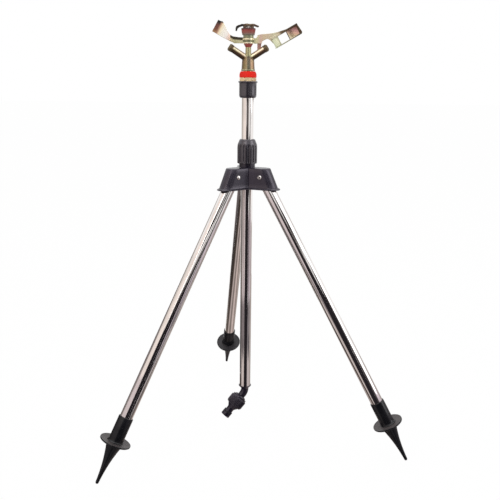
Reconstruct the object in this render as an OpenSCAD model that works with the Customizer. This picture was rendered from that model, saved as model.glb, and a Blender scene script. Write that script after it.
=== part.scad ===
// Tripod impact sprinkler: a two-nozzle swinging-arm head on a mast that slides through a
// folding three-legged stand. Z is up and zero is the level of the spike tips. The back leg
// lies along +Y and the two front legs lie at thirty degrees either side of -Y.

/* [Tripod legs] */
// Distance from a leg's pivot to the centre of its spike tip
leg_reach = 487.4; // [450:0.2:520]
// Angle between an open leg and the vertical
leg_tilt = 30; // [28:0.1:31]
// Outside diameter of a leg tube
leg_d = 19; // [18.4:0.1:19.4]
// Wall of a leg tube
leg_wall = 0.8; // [0.6:0.1:1]
// Distance of the leg pivots from the mast axis
pivot_r = 25; // [24.8:0.1:26.5]
// Length of the plastic plug inside the top of a leg
leg_plug_l = 26; // [20:1:32]
// Thickness of the plug's rim over the tube's end
leg_plug_rim = 1.5; // [1:0.1:2]

/* [Feet] */
// Diameter of the rounded spike tip
tip_d = 4.8; // [4:0.1:5.4]
// Distance from the spike tip's centre to the middle of the foot plate
spike_l = 62.4; // [56:0.2:68]
// Diameter of the spike where it meets the foot plate
spike_root_d = 26.8; // [20:0.1:28]
// Diameter of the foot plate
plate_d = 46.4; // [40:0.1:48]
// Thickness of the foot plate
plate_t = 2.4; // [2:0.1:3]
// Angle by which the foot plate is cocked from square to the leg
plate_cock = 5.7; // [0:0.1:10]
// Turn of the front feet on their legs, each towards the front
front_foot_turn = 48; // [0:1:90]
// Turn of the back foot on its leg
back_foot_turn = 90; // [0:1:180]
// Outside diameter of the foot's sleeve
sleeve_d = 21.8; // [21.4:0.1:23]
// Height of the sleeve's top above the middle of the foot plate
sleeve_h = 37.8; // [34:0.1:44]
// Depth of the leg tube inside the sleeve
sleeve_grip = 32; // [26:1:33]

/* [Hub] */
// Height of the hub, without its collar
hub_h = 32; // [31:0.5:34]
// Depth of the leg pivots below the top of the hub
pivot_drop = 13.1; // [12.6:0.1:14]
// Wall of the hub's arms
hub_wall = 2; // [1.8:0.1:2.4]
// Thickness of the hub's roof
roof_t = 2.2; // [1.8:0.1:2.6]
// Distance from the mast axis to the centre of an arm's round end, at the top
arm_end_r = 24.4; // [22.8:0.1:25]
// Slope of an arm's round end from the vertical
arm_end_slope = 23.5; // [22:0.5:27]
// Wall of the core that the mast runs in
core_wall = 3; // [2.5:0.1:3.1]
// How far the lip stands out round the bottom of the arms
lip_out = 2.4; // [1.5:0.1:3]
// Height of the lip
lip_h = 2.2; // [1.5:0.1:3]
// Bare height of the collar between the hub and the lock nut
collar_h = 6.2; // [5:0.1:9]
// Height of the collar's thread inside the lock nut
thread_h = 20; // [15:0.5:21]
// Diameter of the leg pivots
rivet_d = 4; // [3.5:0.1:4.5]
// Diameter of a pivot rivet's head
rivet_head_d = 6.6; // [6:0.1:8]
// Height of a pivot rivet's head
rivet_head_h = 2; // [1.5:0.1:2.5]

/* [Lock nut and collet] */
// Height of the lock nut
nut_h = 36.4; // [34:0.1:38]
// Diameter over the lock nut's ribs
nut_d = 30.2; // [29.4:0.1:32]
// Diameter of the lock nut's top
nut_top_d = 22.2; // [21.6:0.1:24]
// Number of ribs round the lock nut
nut_ribs = 14; // [10:1:18]
// Wall between the collar's thread and the mast
thread_wall = 2.9; // [2.6:0.1:3]
// Height of the collet
collet_h = 10.5; // [9:0.5:11.5]
// Number of slits in the collet
collet_slits = 6; // [4:1:8]

/* [Mast] */
// Outside diameter of the mast tube
mast_d = 18; // [17.6:0.1:18.2]
// Wall of the mast tube
mast_wall = 0.8; // [0.6:0.1:1]
// Length of mast tube that shows above the lock nut
mast_show = 60.3; // [50:0.5:80]
// Length of mast tube that shows below the hub
mast_drop = 331; // [320:1:345]

/* [Head adapter] */
// Height of the adapter
adapter_h = 24.2; // [23.5:0.1:27]
// Diameter of the adapter's body
adapter_d = 25.9; // [25:0.1:28]
// Diameter of the adapter's top flange
adapter_flange_d = 28.6; // [27.4:0.1:30.4]
// Height of the adapter's top flange
adapter_flange_h = 1.6; // [1.2:0.1:2.2]
// Depth of the mast's socket in the adapter
adapter_socket = 8.6; // [7.5:0.1:9]
// Thickness of the flat washer under the bearing sleeve's hexagon
sleeve_washer_t = 1; // [0.8:0.1:1.5]

/* [Head bearing] */
// Diameter of the half-inch pipe thread
pipe_d = 20.9; // [20.7:0.1:21.1]
// Length of the bearing sleeve's thread
pipe_thread_l = 9.2; // [8:0.1:9.6]
// Width across the flats of the bearing sleeve's hexagon
hex_af = 21.6; // [21.2:0.1:23]
// Height of the hexagon
hex_h = 5.2; // [4.5:0.1:6]
// Outside diameter of the turning stem
stem_d = 12.6; // [12:0.1:13]
// Water way through the stem
stem_bore = 9; // [8:0.1:9.6]
// Diameter of the flange at the stem's foot
stem_flange_d = 17; // [16.4:0.1:18]
// Thickness of the flange at the stem's foot
stem_flange_t = 1.2; // [1:0.1:1.4]
// Thickness of each of the two washers on the flange
stem_washer_t = 0.7; // [0.6:0.1:0.8]
// Length of stem screwed into the head
stem_grip = 9; // [7:0.5:10]
// Height of the gap that the dust ring covers
ring_h = 9.4; // [8.6:0.1:10]
// Largest diameter of the dust ring
ring_d = 25.4; // [24:0.1:26]
// Diameter of the dust ring's top edge
ring_top_d = 22.4; // [21.5:0.1:23.5]
// Wire of the thrust spring
thrust_wire = 1.3; // [1:0.1:1.5]
// Turns of the thrust spring
thrust_turns = 3.5; // [3:0.5:4]

/* [Head body] */
// Azimuth of the head's right nozzle, as it stands
head_azimuth = -4; // [-10:1:10]
// Diameter of the body's foot
body_foot_d = 20.4; // [20:0.1:21.5]
// Diameter of the body at its shoulder
body_top_d = 17.8; // [17.4:0.1:19]
// Height of the body from foot to shoulder
body_h = 17; // [16:0.5:19]
// Height where the barrel axes meet, above the body's foot
barrel_root = 15.9; // [15:0.1:17]
// Slope of the barrels above the horizontal
barrel_slope = 32.5; // [31:0.5:33.5]
// Length of a barrel from the mast axis to its nozzle
barrel_l = 27.4; // [26:0.1:28]
// Outside diameter of a barrel
barrel_d = 9.7; // [9.2:0.1:10.2]
// Water way of a barrel
barrel_bore = 5; // [4.4:0.1:5.4]
// Diameter of a nozzle
nozzle_d = 10.8; // [10.4:0.1:11.2]
// Length of nozzle that shows
nozzle_l = 6.4; // [5.5:0.1:7]
// Mouth of the nozzles
nozzle_mouth = 3.2; // [2.6:0.1:4]
// Diameter of the post that carries the arm
post_d = 8.4; // [8:0.1:9]
// Height of the post's top above the body's foot
post_h = 33.2; // [32:0.1:35]
// Diameter of the steel pin that the arm swings on
pin_d = 4; // [3.6:0.1:4.4]
// Depth of the pin in the post
pin_grip = 14; // [10:1:16]
// Height of the conical washer on the post
cone_h = 5.2; // [3.5:0.1:5.6]
// Diameter of the conical washer's top
cone_d = 13.2; // [12:0.1:13.8]

/* [Impact arm] */
// Height of the arm's hub
arm_hub_h = 11.9; // [11:0.1:12.6]
// Diameter of the arm's hub
arm_hub_d = 15.2; // [14.6:0.1:15.6]
// Outside diameter of the bush in the arm's hub
bush_d = 8; // [7:0.1:9]
// Thickness of the arm's web
web_t = 3.6; // [3:0.1:4.5]
// Distance from the mast axis to the counterweight plate's outer low corner
fan_reach = 52.4; // [46:1:54]
// Length of the counterweight plate's outer edge
fan_edge = 18.4; // [14:0.1:19]
// Depth of the counterweight plate's folded rim
fan_rim = 6.2; // [4:0.1:7]
// Distance from the mast axis to the drive frame's inner top corner
frame_r = 32.5; // [31.5:0.1:34]
// Height of that corner above the underside of the arm's hub
frame_rise = 8; // [7:0.1:9]
// Slope of the drive frame above the horizontal
frame_slope = 30; // [28:0.5:31]
// Length of the drive frame
frame_l = 43; // [41:0.5:46]
// Width of the drive frame between its outer faces
frame_w = 16.6; // [15:0.1:18]
// Depth of the drive frame, front to back
frame_depth = 10; // [9:0.1:12]
// Thickness of the drive frame's rails and vanes
rail_t = 1.6; // [1.4:0.1:2]
// Thickness of the drive frame's top rail
top_rail_t = 2.8; // [1.6:0.1:3.2]
// Length of the flat vane at the frame's inner end
vane_l = 10.4; // [9:0.1:11]
// Distance from the inner end to the curved spoon
spoon_start = 24.6; // [23:0.1:26]
// Width of the lug that strikes the right barrel
lug_w = 5.6; // [4.5:0.1:6]
// Distance from the mast axis to the middle of the lug
lug_r = 16.6; // [16:0.1:17.5]

/* [Arm spring] */
// Height of the spring cup
cup_h = 9.4; // [8:0.1:10]
// Diameter of the spring cup's rim
cup_d = 21; // [20:0.1:22]
// Diameter of the spring cup's foot
cup_foot_d = 18.6; // [18:0.1:19.6]
// Wire of the arm spring
arm_wire = 1.2; // [0.9:0.1:1.4]
// Turns of the arm spring
arm_turns = 3; // [2.5:0.5:4]
// Height of the spring adjuster
cap_h = 5.6; // [5:0.1:7]
// Diameter of the spring adjuster's plate
cap_d = 17.6; // [16:0.1:19]
// Sheet thickness of the spring adjuster
cap_t = 2.4; // [1.4:0.1:2.8]

/* [Hose connection] */
// Azimuth of the hose connection, as it stands
elbow_azimuth = 197; // [185:1:205]
// Angle of the hose connection below the horizontal
elbow_slope = 45; // [40:1:50]
// Depth of the bend's centre below the mast tube's end
bend_drop = 10; // [9:0.1:12]
// Diameter of the elbow's neck
neck_d = 12; // [11.5:0.1:12.6]
// Water way of the elbow
elbow_bore = 8; // [7:0.1:8.6]
// Diameter of the cup that takes the mast tube's end
elbow_cup_d = 20.4; // [19.8:0.1:21.5]
// Depth of the mast tube in the elbow's cup
elbow_cup_grip = 2; // [1.5:0.1:3]
// Height of the elbow's spigot inside the mast tube
spigot_h = 20; // [16:1:24]
// Distance from the bend to the start of the union nut
union_start = 9.4; // [9:0.1:11]
// Length of the union nut
union_l = 20; // [18.5:0.1:21]
// Diameter over the union nut's ribs
union_d = 27.6; // [27.2:0.1:29]
// Diameter of the union nut's shoulder
union_shoulder_d = 17.2; // [16.5:0.1:19]
// Number of ribs round the union nut
union_ribs = 36; // [24:1:40]
// Thickness of the flat washer in the union
union_washer_t = 1.6; // [1.2:0.1:2]
// Diameter of the quick-fit nipple's head
nipple_d = 15.2; // [14.8:0.1:15.8]
// Length of the nipple's head
nipple_head_l = 10.8; // [10:0.1:12]
// Distance from the union nut to the nipple's head
nipple_neck_l = 11.3; // [10:0.1:13]
// Diameter of the nipple's neck
nipple_neck_d = 12; // [11.5:0.1:12.6]

/* [Fits] */
// Radial clearance between a moving part and what it runs past
run_gap = 0.3; // [0.25:0.05:0.4]
// Radial clearance of a running fit
run_fit = 0.05; // [0.03:0.01:0.1]
// Radial clearance between parts pressed, screwed or glued together
set_fit = 0.03; // [0.02:0.01:0.05]

/* [Hidden] */
$fn = 96;

azimuth_back = 90;
azimuth_left = 210;
azimuth_right = 330;
leg_azimuths = [azimuth_back, azimuth_left, azimuth_right];

// Radii of the mast and of what it runs through
mast_r = mast_d / 2;
mast_bore_r = mast_r + run_gap;
mast_inner_r = mast_r - mast_wall;
core_r = mast_bore_r + core_wall;
thread_r = mast_bore_r + thread_wall;

// The stand's bounding box is centred on the origin, so the mast stands a little in front
foot_plate_r = plate_d / 2;
tip_r = tip_d / 2;
cock_out = sin(plate_cock) * cos(front_foot_turn);
cock_side = sin(plate_cock) * sin(front_foot_turn);
tip_reach = pivot_r + leg_reach * sin(leg_tilt);
plate_reach = pivot_r + (leg_reach - spike_l) * sin(leg_tilt);
plate_normal_y = (cock_out * cos(leg_tilt) - cos(plate_cock) * sin(leg_tilt)) * sin(azimuth_left)
  + cock_side * cos(azimuth_left);
plate_front = plate_reach * sin(azimuth_left) - foot_plate_r * sqrt(1 - pow(plate_normal_y, 2))
  - plate_t / 2 * abs(plate_normal_y);
mast_y = -(tip_reach + tip_r + plate_front) / 2;

// Heights, from the spikes up
leg_pivot_z = tip_r + leg_reach * cos(leg_tilt);
hub_top = leg_pivot_z + pivot_drop;
hub_bottom = hub_top - hub_h;
roof_z = hub_top - roof_t;
nut_bottom = hub_top + collar_h;
thread_top = nut_bottom + thread_h;
nut_top = nut_bottom + nut_h;
adapter_bottom = nut_top + mast_show;
mast_top = adapter_bottom + adapter_socket;
mast_bottom = hub_bottom - mast_drop;
hex_bottom = adapter_bottom + adapter_h;
hex_top = hex_bottom + hex_h;
sleeve_bottom = hex_bottom - pipe_thread_l;
body_z = hex_top + ring_h;
post_top = body_z + post_h;
arm_z = post_top + cone_h;
arm_top = arm_z + arm_hub_h;
cap_bottom = arm_top + run_gap;
cap_top = arm_top + cup_h + cap_h;
bend_z = mast_bottom - bend_drop;

// Leg details, measured along the leg
leg_r = leg_d / 2;
leg_bore_r = leg_r - leg_wall;
arm_half = leg_r + run_gap + hub_wall;
leg_end = (pivot_drop - roof_t - run_gap - leg_r * sin(leg_tilt)) / cos(leg_tilt);
leg_tube_top = leg_end - leg_plug_rim;
foot_z = -leg_reach;
plate_z = foot_z + spike_l;
sleeve_top_z = plate_z + sleeve_h;
leg_tube_bottom = sleeve_top_z - sleeve_grip;
rivet_r = rivet_d / 2;
rivet_grip = 2 * arm_half;

// Head details
stem_r = stem_d / 2;
barrel_r = barrel_d / 2;
nozzle_r = nozzle_d / 2;
nozzle_spigot_r = barrel_r - 1.4;
nozzle_spigot_l = 6;
pin_r = pin_d / 2;
bush_r = bush_d / 2;
arm_hub_r = arm_hub_d / 2;
spoon_drop = frame_depth - 1.2;
spoon_l = frame_l - spoon_start;
spoon_r = (pow(spoon_l, 2) + pow(spoon_drop, 2)) / (2 * spoon_drop);

// Hose connection details, measured from the bend along its axis
elbow_neck_r = neck_d / 2;
union_wall = 1.7;
union_shoulder = 2.5;
union_r = union_d / 2;
union_thread_r = union_r - union_wall;
elbow_flange_r = 9.4;
elbow_flange_t = 2.2;
elbow_flange_w = union_start + union_shoulder;
union_washer_w = elbow_flange_w + elbow_flange_t;
nipple_w = union_washer_w + union_washer_t;
union_end = union_start + union_l;
nipple_head_w = union_end + nipple_neck_l;
nipple_end_w = nipple_head_w + nipple_head_l;
nipple_r = nipple_d / 2;
o_ring_wire = 2;
o_ring_w = nipple_head_w + 3.4;

// Put the children on the mast axis
module at_mast(z = 0) {
  translate([0, mast_y, z]) children();
}

// Put the children in the frame of one leg: its pivot at the origin, its tip straight down
module on_leg(azimuth) {
  at_mast(leg_pivot_z)
    rotate([0, 0, azimuth])
      translate([pivot_r, 0, 0])
        rotate([0, -leg_tilt, 0])
          children();
}

// Put the children in the frame of the turning head, with the nozzles along X
module on_head(z = 0) {
  at_mast(z) rotate([0, 0, head_azimuth]) children();
}

// Put the children on the axis of the hose connection, with the bend at zero
module on_hose_axis() {
  at_mast(bend_z)
    rotate([0, 90 + elbow_slope, elbow_azimuth])
      children();
}

// A tube or ring standing on zero
module ring(outer_r, inner_r, height) {
  difference() {
    cylinder(r = outer_r, h = height);
    translate([0, 0, -1]) cylinder(r = inner_r, h = height + 2);
  }
}

// A coiled wire between two flat ends, standing on zero
module coil(mean_r, wire, turns, height) {
  steps = 14;
  half_angle = 180 * turns * wire / height;
  linear_extrude(height = height, twist = -360 * turns, slices = 20 * turns, $fn = 0)
    polygon([for (i = [0:steps - 1])
      let (a = 360 * i / steps, r = mean_r + wire / 2 * sin(a), turn = half_angle * cos(a))
      [r * cos(turn), r * sin(turn)]]);
}

// ---- Hub ---------------------------------------------------------------------------------

// One arm of the hub, or its cavity: a rounded channel that widens outwards going down
module hub_arm(half, bottom, top) {
  slope = tan(arm_end_slope);
  end_r = arm_end_r + (hub_top - bottom) * slope;
  side_step = 0.05;
  intersection() {
    translate([0, -2 * half, bottom]) cube([end_r + 2 * half, 4 * half, top - bottom]);
    union() {
      rotate([90, 0, 0])
        linear_extrude(height = 2 * (half - side_step), center = true)
          polygon([[0, bottom], [end_r, bottom], [arm_end_r + (hub_top - top) * slope, top], [0, top]]);
      translate([arm_end_r, 0, hub_top])
        rotate([0, -arm_end_slope, 0])
          cylinder(r = half, h = 3 * hub_h, center = true);
    }
  }
}

module hub() {
  color("#26272b")
    difference() {
      at_mast() {
        difference() {
          for (a = leg_azimuths)
            rotate([0, 0, a]) {
              hub_arm(arm_half, hub_bottom, hub_top);
              hub_arm(arm_half + lip_out, hub_bottom, hub_bottom + lip_h);
            }
          for (a = leg_azimuths)
            rotate([0, 0, a])
              hub_arm(arm_half - hub_wall, hub_bottom - 1, roof_z);
        }
        translate([0, 0, hub_bottom]) cylinder(r = core_r, h = hub_h);
        translate([0, 0, hub_top - 1]) cylinder(r = thread_r, h = thread_top - hub_top + 1);
      }
      at_mast(hub_bottom - 1) cylinder(r = mast_bore_r, h = thread_top - hub_bottom + 2);
      for (a = leg_azimuths)
        on_leg(a)
          rotate([90, 0, 0])
            cylinder(r = rivet_r + set_fit, h = rivet_grip + 10, center = true);
    }
}

// The rivets that the legs swing on, with their round heads
module pivot_rivets() {
  color("#3a3b40")
    for (a = leg_azimuths)
      on_leg(a)
        rotate([-90, 0, 0]) {
          translate([0, 0, -arm_half - 1.2])
            cylinder(r = rivet_r, h = rivet_grip + 1.2 + rivet_head_h / 2);
          translate([0, 0, arm_half]) {
            cylinder(d = rivet_head_d, h = rivet_head_h - 0.8);
            translate([0, 0, rivet_head_h - 0.8])
              cylinder(d1 = rivet_head_d, d2 = rivet_head_d - 2.4, h = 0.8);
          }
        }
}

// The push-on rings that close the rivets on the other side
module pivot_rings() {
  color("#2e2f33")
    for (a = leg_azimuths)
      on_leg(a)
        rotate([90, 0, 0])
          translate([0, 0, arm_half])
            difference() {
              cylinder(d1 = rivet_head_d, d2 = rivet_head_d - 1, h = rivet_head_h);
              translate([0, 0, -1]) cylinder(r = rivet_r + set_fit, h = rivet_head_h + 2);
            }
}

// ---- Lock nut and collet -------------------------------------------------------------------

collet_r = thread_r - 0.6;
collet_top_r = mast_r + 1;
collet_foot_h = 1.5;
collet_slope = (collet_r - collet_top_r) / (collet_h - collet_foot_h);
nut_gap = run_gap * sqrt(1 + pow(collet_slope, 2)) + 0.05;

module lock_nut() {
  rib_top = nut_h * 0.79;
  nut_r = nut_d / 2;
  top_r = nut_top_d / 2;
  bore_r = thread_r + run_gap;
  cone_z = thread_h + collet_foot_h;
  color("#232428")
    at_mast(nut_bottom)
      difference() {
        intersection() {
          rotate_extrude()
            polygon([[0, 0], [nut_r - 0.6, 0], [nut_r, 0.6], [nut_r, nut_h * 0.68],
              [nut_r - 0.6, nut_h * 0.79], [nut_r - 1.9, nut_h * 0.88],
              [top_r + 1.2, nut_h * 0.955], [top_r, nut_h], [0, nut_h]]);
          union() {
            cylinder(r = nut_r - 0.9, h = nut_h);
            translate([0, 0, rib_top]) cylinder(r = nut_r, h = nut_h - rib_top);
            cylinder(r = nut_r, h = 1.6);
            for (i = [0:nut_ribs - 1])
              rotate([0, 0, 360 / nut_ribs * (i + 0.5)])
                translate([0, -1.7, 0])
                  cube([nut_r, 3.4, nut_h]);
          }
        }
        translate([0, 0, -1]) cylinder(r = bore_r, h = cone_z + 1.01);
        translate([0, 0, cone_z])
          cylinder(r1 = collet_r + nut_gap, r2 = collet_top_r + nut_gap, h = collet_h - collet_foot_h);
        translate([0, 0, cone_z + collet_h - collet_foot_h - 0.01])
          cylinder(r = collet_top_r + nut_gap, h = 0.6);
        cylinder(r = mast_bore_r, h = nut_h + 1);
      }
}

module clamp_collet() {
  slit_w = 0.8;
  color("#d8d4c8")
    at_mast(thread_top)
      difference() {
        union() {
          cylinder(r = collet_r, h = collet_foot_h);
          translate([0, 0, collet_foot_h])
            cylinder(r1 = collet_r, r2 = collet_top_r, h = collet_h - collet_foot_h);
        }
        translate([0, 0, -1]) cylinder(r = mast_r + run_fit, h = collet_h + 2);
        for (i = [0:collet_slits - 1])
          rotate([0, 0, 360 / collet_slits * i])
            translate([0, -slit_w / 2, collet_foot_h + 0.5])
              cube([collet_r + 1, slit_w, collet_h]);
      }
}

// ---- Legs ----------------------------------------------------------------------------------

module leg_tube(azimuth) {
  color("#c9c7c4")
    on_leg(azimuth)
      difference() {
        translate([0, 0, leg_tube_bottom]) ring(leg_r, leg_bore_r, leg_tube_top - leg_tube_bottom);
        rotate([90, 0, 0]) cylinder(r = rivet_r + run_fit, h = leg_d + 2, center = true);
      }
}

// The plastic plug that lines the top of a leg, with its rim over the tube's end
module leg_plug(azimuth) {
  core_hole_r = 5;
  color("#222327")
    on_leg(azimuth)
      difference() {
        union() {
          translate([0, 0, leg_tube_top - leg_plug_l]) cylinder(r = leg_bore_r - set_fit, h = leg_plug_l);
          translate([0, 0, leg_tube_top]) cylinder(r = leg_r, h = leg_plug_rim);
        }
        rotate([90, 0, 0]) cylinder(r = rivet_r + run_fit, h = leg_d + 2, center = true);
        translate([0, 0, leg_tube_top - leg_plug_l - 1])
          cylinder(r = core_hole_r, h = leg_plug_l - leg_tube_top - rivet_d + 1);
      }
}

// A foot: a spike that is pushed into the ground, a plate to tread on and a sleeve for the leg
module foot(azimuth, turn) {
  steps = 12;
  sleeve_r = sleeve_d / 2;
  floor_z = leg_tube_bottom;
  spike = [for (i = [1:steps])
    let (t = i / steps, flare = 0.24 * t + 0.76 * pow(t, 2.2))
    [tip_r + (spike_root_d / 2 - tip_r) * flare, foot_z + spike_l * t]];
  color("#1d1e21")
    on_leg(azimuth)
      difference() {
        union() {
          translate([0, 0, foot_z]) sphere(r = tip_r);
          rotate_extrude()
            polygon(concat([[0, foot_z], [tip_r, foot_z]], spike,
              [[sleeve_r + 0.6, plate_z + plate_t / 2 + 0.4], [sleeve_r, plate_z + plate_t / 2 + 1.2],
               [sleeve_r, sleeve_top_z - 0.8], [sleeve_r - 0.5, sleeve_top_z], [0, sleeve_top_z]]));
          translate([0, 0, plate_z])
            rotate([0, plate_cock, turn])
              cylinder(r = foot_plate_r, h = plate_t, center = true);
        }
        translate([0, 0, floor_z]) cylinder(r = leg_r + set_fit, h = sleeve_top_z - floor_z + 1);
        translate([0, 0, plate_z - spike_l / 3]) cylinder(r = leg_r - 3.5, h = spike_l);
      }
}

module left_leg_tube() leg_tube(azimuth_left);
module left_leg_plug() leg_plug(azimuth_left);
module left_foot() foot(azimuth_left, front_foot_turn);
module right_leg_tube() leg_tube(azimuth_right);
module right_leg_plug() leg_plug(azimuth_right);
module right_foot() foot(azimuth_right, -front_foot_turn);
module back_leg_tube() leg_tube(azimuth_back);
module back_leg_plug() leg_plug(azimuth_back);
module back_foot() foot(azimuth_back, back_foot_turn);

// ---- Mast and its two ends -----------------------------------------------------------------

module mast_tube() {
  color("#c9c7c4") at_mast(mast_bottom) ring(mast_r, mast_inner_r, mast_top - mast_bottom);
}

adapter_r = adapter_d / 2;
adapter_flange_r = adapter_flange_d / 2;
adapter_thread_r = pipe_d / 2 + set_fit;
washer_recess_r = adapter_thread_r + 1.3;
adapter_shelf_z = adapter_h - pipe_thread_l - 2 * stem_washer_t - stem_flange_t - 0.5;

// The socket on top of the mast, threaded inside for the head's bearing
module head_adapter() {
  color("#25262c")
    at_mast(adapter_bottom)
      difference() {
        rotate_extrude()
          polygon([[0, 0], [adapter_r - 2, 0], [adapter_r - 0.6, 1.2], [adapter_r, 3],
            [adapter_r, adapter_h - adapter_flange_h - 0.5],
            [adapter_flange_r, adapter_h - adapter_flange_h], [adapter_flange_r, adapter_h], [0, adapter_h]]);
        translate([0, 0, -1]) cylinder(r = mast_r + set_fit, h = adapter_socket + 1);
        cylinder(r = mast_inner_r - 0.6, h = adapter_h + 1);
        translate([0, 0, adapter_shelf_z]) cylinder(r = adapter_thread_r, h = adapter_h);
        translate([0, 0, adapter_h - sleeve_washer_t]) cylinder(r = washer_recess_r, h = adapter_h);
      }
}

// The flat washer under the bearing sleeve's hexagon, sunk in the adapter
module adapter_washer() {
  color("#b9b6a8")
    at_mast(hex_bottom - sleeve_washer_t)
      ring(washer_recess_r - set_fit, adapter_thread_r, sleeve_washer_t);
}

// The bend under the mast: a spigot inside the tube, a cup round its end and a flanged neck
module elbow() {
  spigot_r = mast_inner_r - set_fit;
  cup_r = elbow_cup_d / 2;
  seal_z = bend_drop + spigot_h / 2;
  color("#202125")
    difference() {
      union() {
        at_mast(bend_z) {
          sphere(r = elbow_neck_r + 0.2);
          rotate_extrude()
            polygon([[0, 0], [elbow_neck_r, 0], [elbow_neck_r, bend_drop - 3.6],
              [cup_r - 2.2, bend_drop - 0.8], [cup_r, bend_drop + 1],
              [cup_r, bend_drop + elbow_cup_grip],
              [mast_r + set_fit, bend_drop + elbow_cup_grip], [mast_r + set_fit, bend_drop],
              [spigot_r, bend_drop], [spigot_r, bend_drop + spigot_h - 1],
              [spigot_r - 0.8, bend_drop + spigot_h], [0, bend_drop + spigot_h]]);
        }
        on_hose_axis() {
          cylinder(r = elbow_neck_r, h = union_washer_w);
          translate([0, 0, elbow_flange_w]) cylinder(r = elbow_flange_r, h = elbow_flange_t);
        }
      }
      at_mast(bend_z) {
        sphere(d = elbow_bore + 0.4);
        cylinder(d = elbow_bore, h = bend_drop + spigot_h + 1);
        translate([0, 0, seal_z]) seal_groove(spigot_r);
      }
      on_hose_axis() cylinder(d = elbow_bore, h = union_washer_w + 1);
    }
}

seal_wire = 1.6;

module seal_groove(outer_r) {
  translate([0, 0, -seal_wire / 2])
    ring(outer_r + 1, outer_r - seal_wire - set_fit, seal_wire);
}

// A rubber ring lying in a groove, flush with the spigot's surface
module seal_ring(outer_r, wire) {
  rotate_extrude() translate([outer_r - wire / 2, 0]) circle(d = wire, $fn = 32);
}

module mast_seal() {
  color("#191919")
    at_mast(bend_z + bend_drop + spigot_h / 2)
      seal_ring(mast_inner_r - set_fit, seal_wire - set_fit);
}

// The ribbed swivel nut that holds the nipple against the elbow
module union_nut() {
  shoulder_r = union_shoulder_d / 2;
  color("#202125")
    on_hose_axis()
      difference() {
        translate([0, 0, union_start]) {
          rotate_extrude()
            polygon([[0, 0], [shoulder_r, 0], [union_r - 0.7, 5.2], [union_r - 0.7, union_l - 1.4],
              [union_r - 1.4, union_l], [0, union_l]]);
          intersection() {
            cylinder(r = union_r, h = union_l - 1.2);
            for (i = [0:union_ribs - 1])
              rotate([0, 0, 360 / union_ribs * i])
                translate([union_r - 2, -0.6, 5.4])
                  cube([4, 1.2, union_l]);
          }
        }
        cylinder(r = elbow_neck_r + run_fit, h = union_end + 1);
        translate([0, 0, elbow_flange_w]) cylinder(r = union_thread_r + set_fit, h = union_l);
      }
}

module union_washer() {
  color("#191919")
    on_hose_axis()
      translate([0, 0, union_washer_w])
        ring(elbow_flange_r, elbow_bore / 2 + 0.5, union_washer_t);
}

// The quick-fit nipple that the hose's coupling snaps over
module hose_nipple() {
  nipple_neck_r = nipple_neck_d / 2;
  groove_r = nipple_r - o_ring_wire * 0.8;
  color("#202125")
    on_hose_axis()
      difference() {
        rotate_extrude()
          polygon([[0, nipple_w], [union_thread_r, nipple_w], [union_thread_r, union_end],
            [10.2, union_end], [9.6, union_end + 1.4], [nipple_neck_r + 1, union_end + 4.6],
            [nipple_neck_r, union_end + 6.6], [nipple_neck_r, nipple_head_w],
            [nipple_r - 0.5, nipple_head_w], [nipple_r, nipple_head_w + 0.5],
            [nipple_r, nipple_end_w - 0.9], [nipple_r - 0.9, nipple_end_w], [0, nipple_end_w]]);
        translate([0, 0, nipple_w - 1]) cylinder(d = elbow_bore, h = nipple_end_w);
        translate([0, 0, o_ring_w - o_ring_wire / 2]) ring(nipple_r + 1, groove_r, o_ring_wire);
      }
}

module nipple_o_ring() {
  color("#191919")
    on_hose_axis()
      translate([0, 0, o_ring_w])
        seal_ring(nipple_r, o_ring_wire * 0.8 - set_fit);
}

// ---- Head bearing ----------------------------------------------------------------------------

module bearing_sleeve() {
  color("#c8963c")
    at_mast()
      difference() {
        union() {
          translate([0, 0, sleeve_bottom]) cylinder(d = pipe_d, h = pipe_thread_l + 1);
          translate([0, 0, hex_bottom])
            rotate([0, 0, -2])
              cylinder(d = hex_af / cos(30), h = hex_h, $fn = 6);
        }
        translate([0, 0, sleeve_bottom - 1])
          cylinder(r = stem_r + run_fit, h = pipe_thread_l + hex_h + 2);
      }
}

// The hollow stem that turns in the sleeve and is screwed up into the head
module bearing_stem() {
  flange_z = sleeve_bottom - 2 * stem_washer_t - stem_flange_t;
  color("#c8963c")
    on_head()
      difference() {
        union() {
          translate([0, 0, flange_z]) cylinder(r = stem_r, h = body_z + stem_grip - flange_z);
          translate([0, 0, flange_z]) cylinder(d = stem_flange_d, h = stem_flange_t);
        }
        translate([0, 0, flange_z - 1]) cylinder(d = stem_bore, h = body_z + stem_grip - flange_z + 2);
      }
}

module stem_washer() {
  color("#e6e1d2")
    on_head(sleeve_bottom - stem_washer_t)
      ring(stem_flange_d / 2, stem_r + set_fit, stem_washer_t);
}

module stem_seal() {
  color("#191919")
    on_head(sleeve_bottom - 2 * stem_washer_t)
      ring(stem_flange_d / 2, stem_r + set_fit, stem_washer_t);
}

module thrust_spring() {
  color("#b9bcc0")
    at_mast(hex_top)
      coil(stem_r + run_gap + thrust_wire / 2 + 0.6, thrust_wire, thrust_turns, ring_h - run_gap);
}

// The bright ring that keeps sand out of the bearing
module dust_ring() {
  ring_r = ring_d / 2;
  top_r = ring_top_d / 2;
  height = ring_h - 2 * run_gap;
  color("#d8261c")
    at_mast(hex_top)
      difference() {
        rotate_extrude()
          polygon([[0, 0], [ring_r - 0.5, 0], [ring_r, 0.6], [ring_r, 4.4],
            [ring_r - 0.6, 6], [top_r, height - 0.5], [top_r - 0.5, height], [0, height]]);
        translate([0, 0, -1]) cylinder(r = top_r - 1.5, h = height + 2);
      }
}

// ---- Head body -------------------------------------------------------------------------------

// Put the children on the axis of the right (0) or left (180) barrel, where the axes meet
module on_barrel(side) {
  on_head(body_z + barrel_root)
    rotate([0, 90 - barrel_slope, side])
      children();
}

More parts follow.
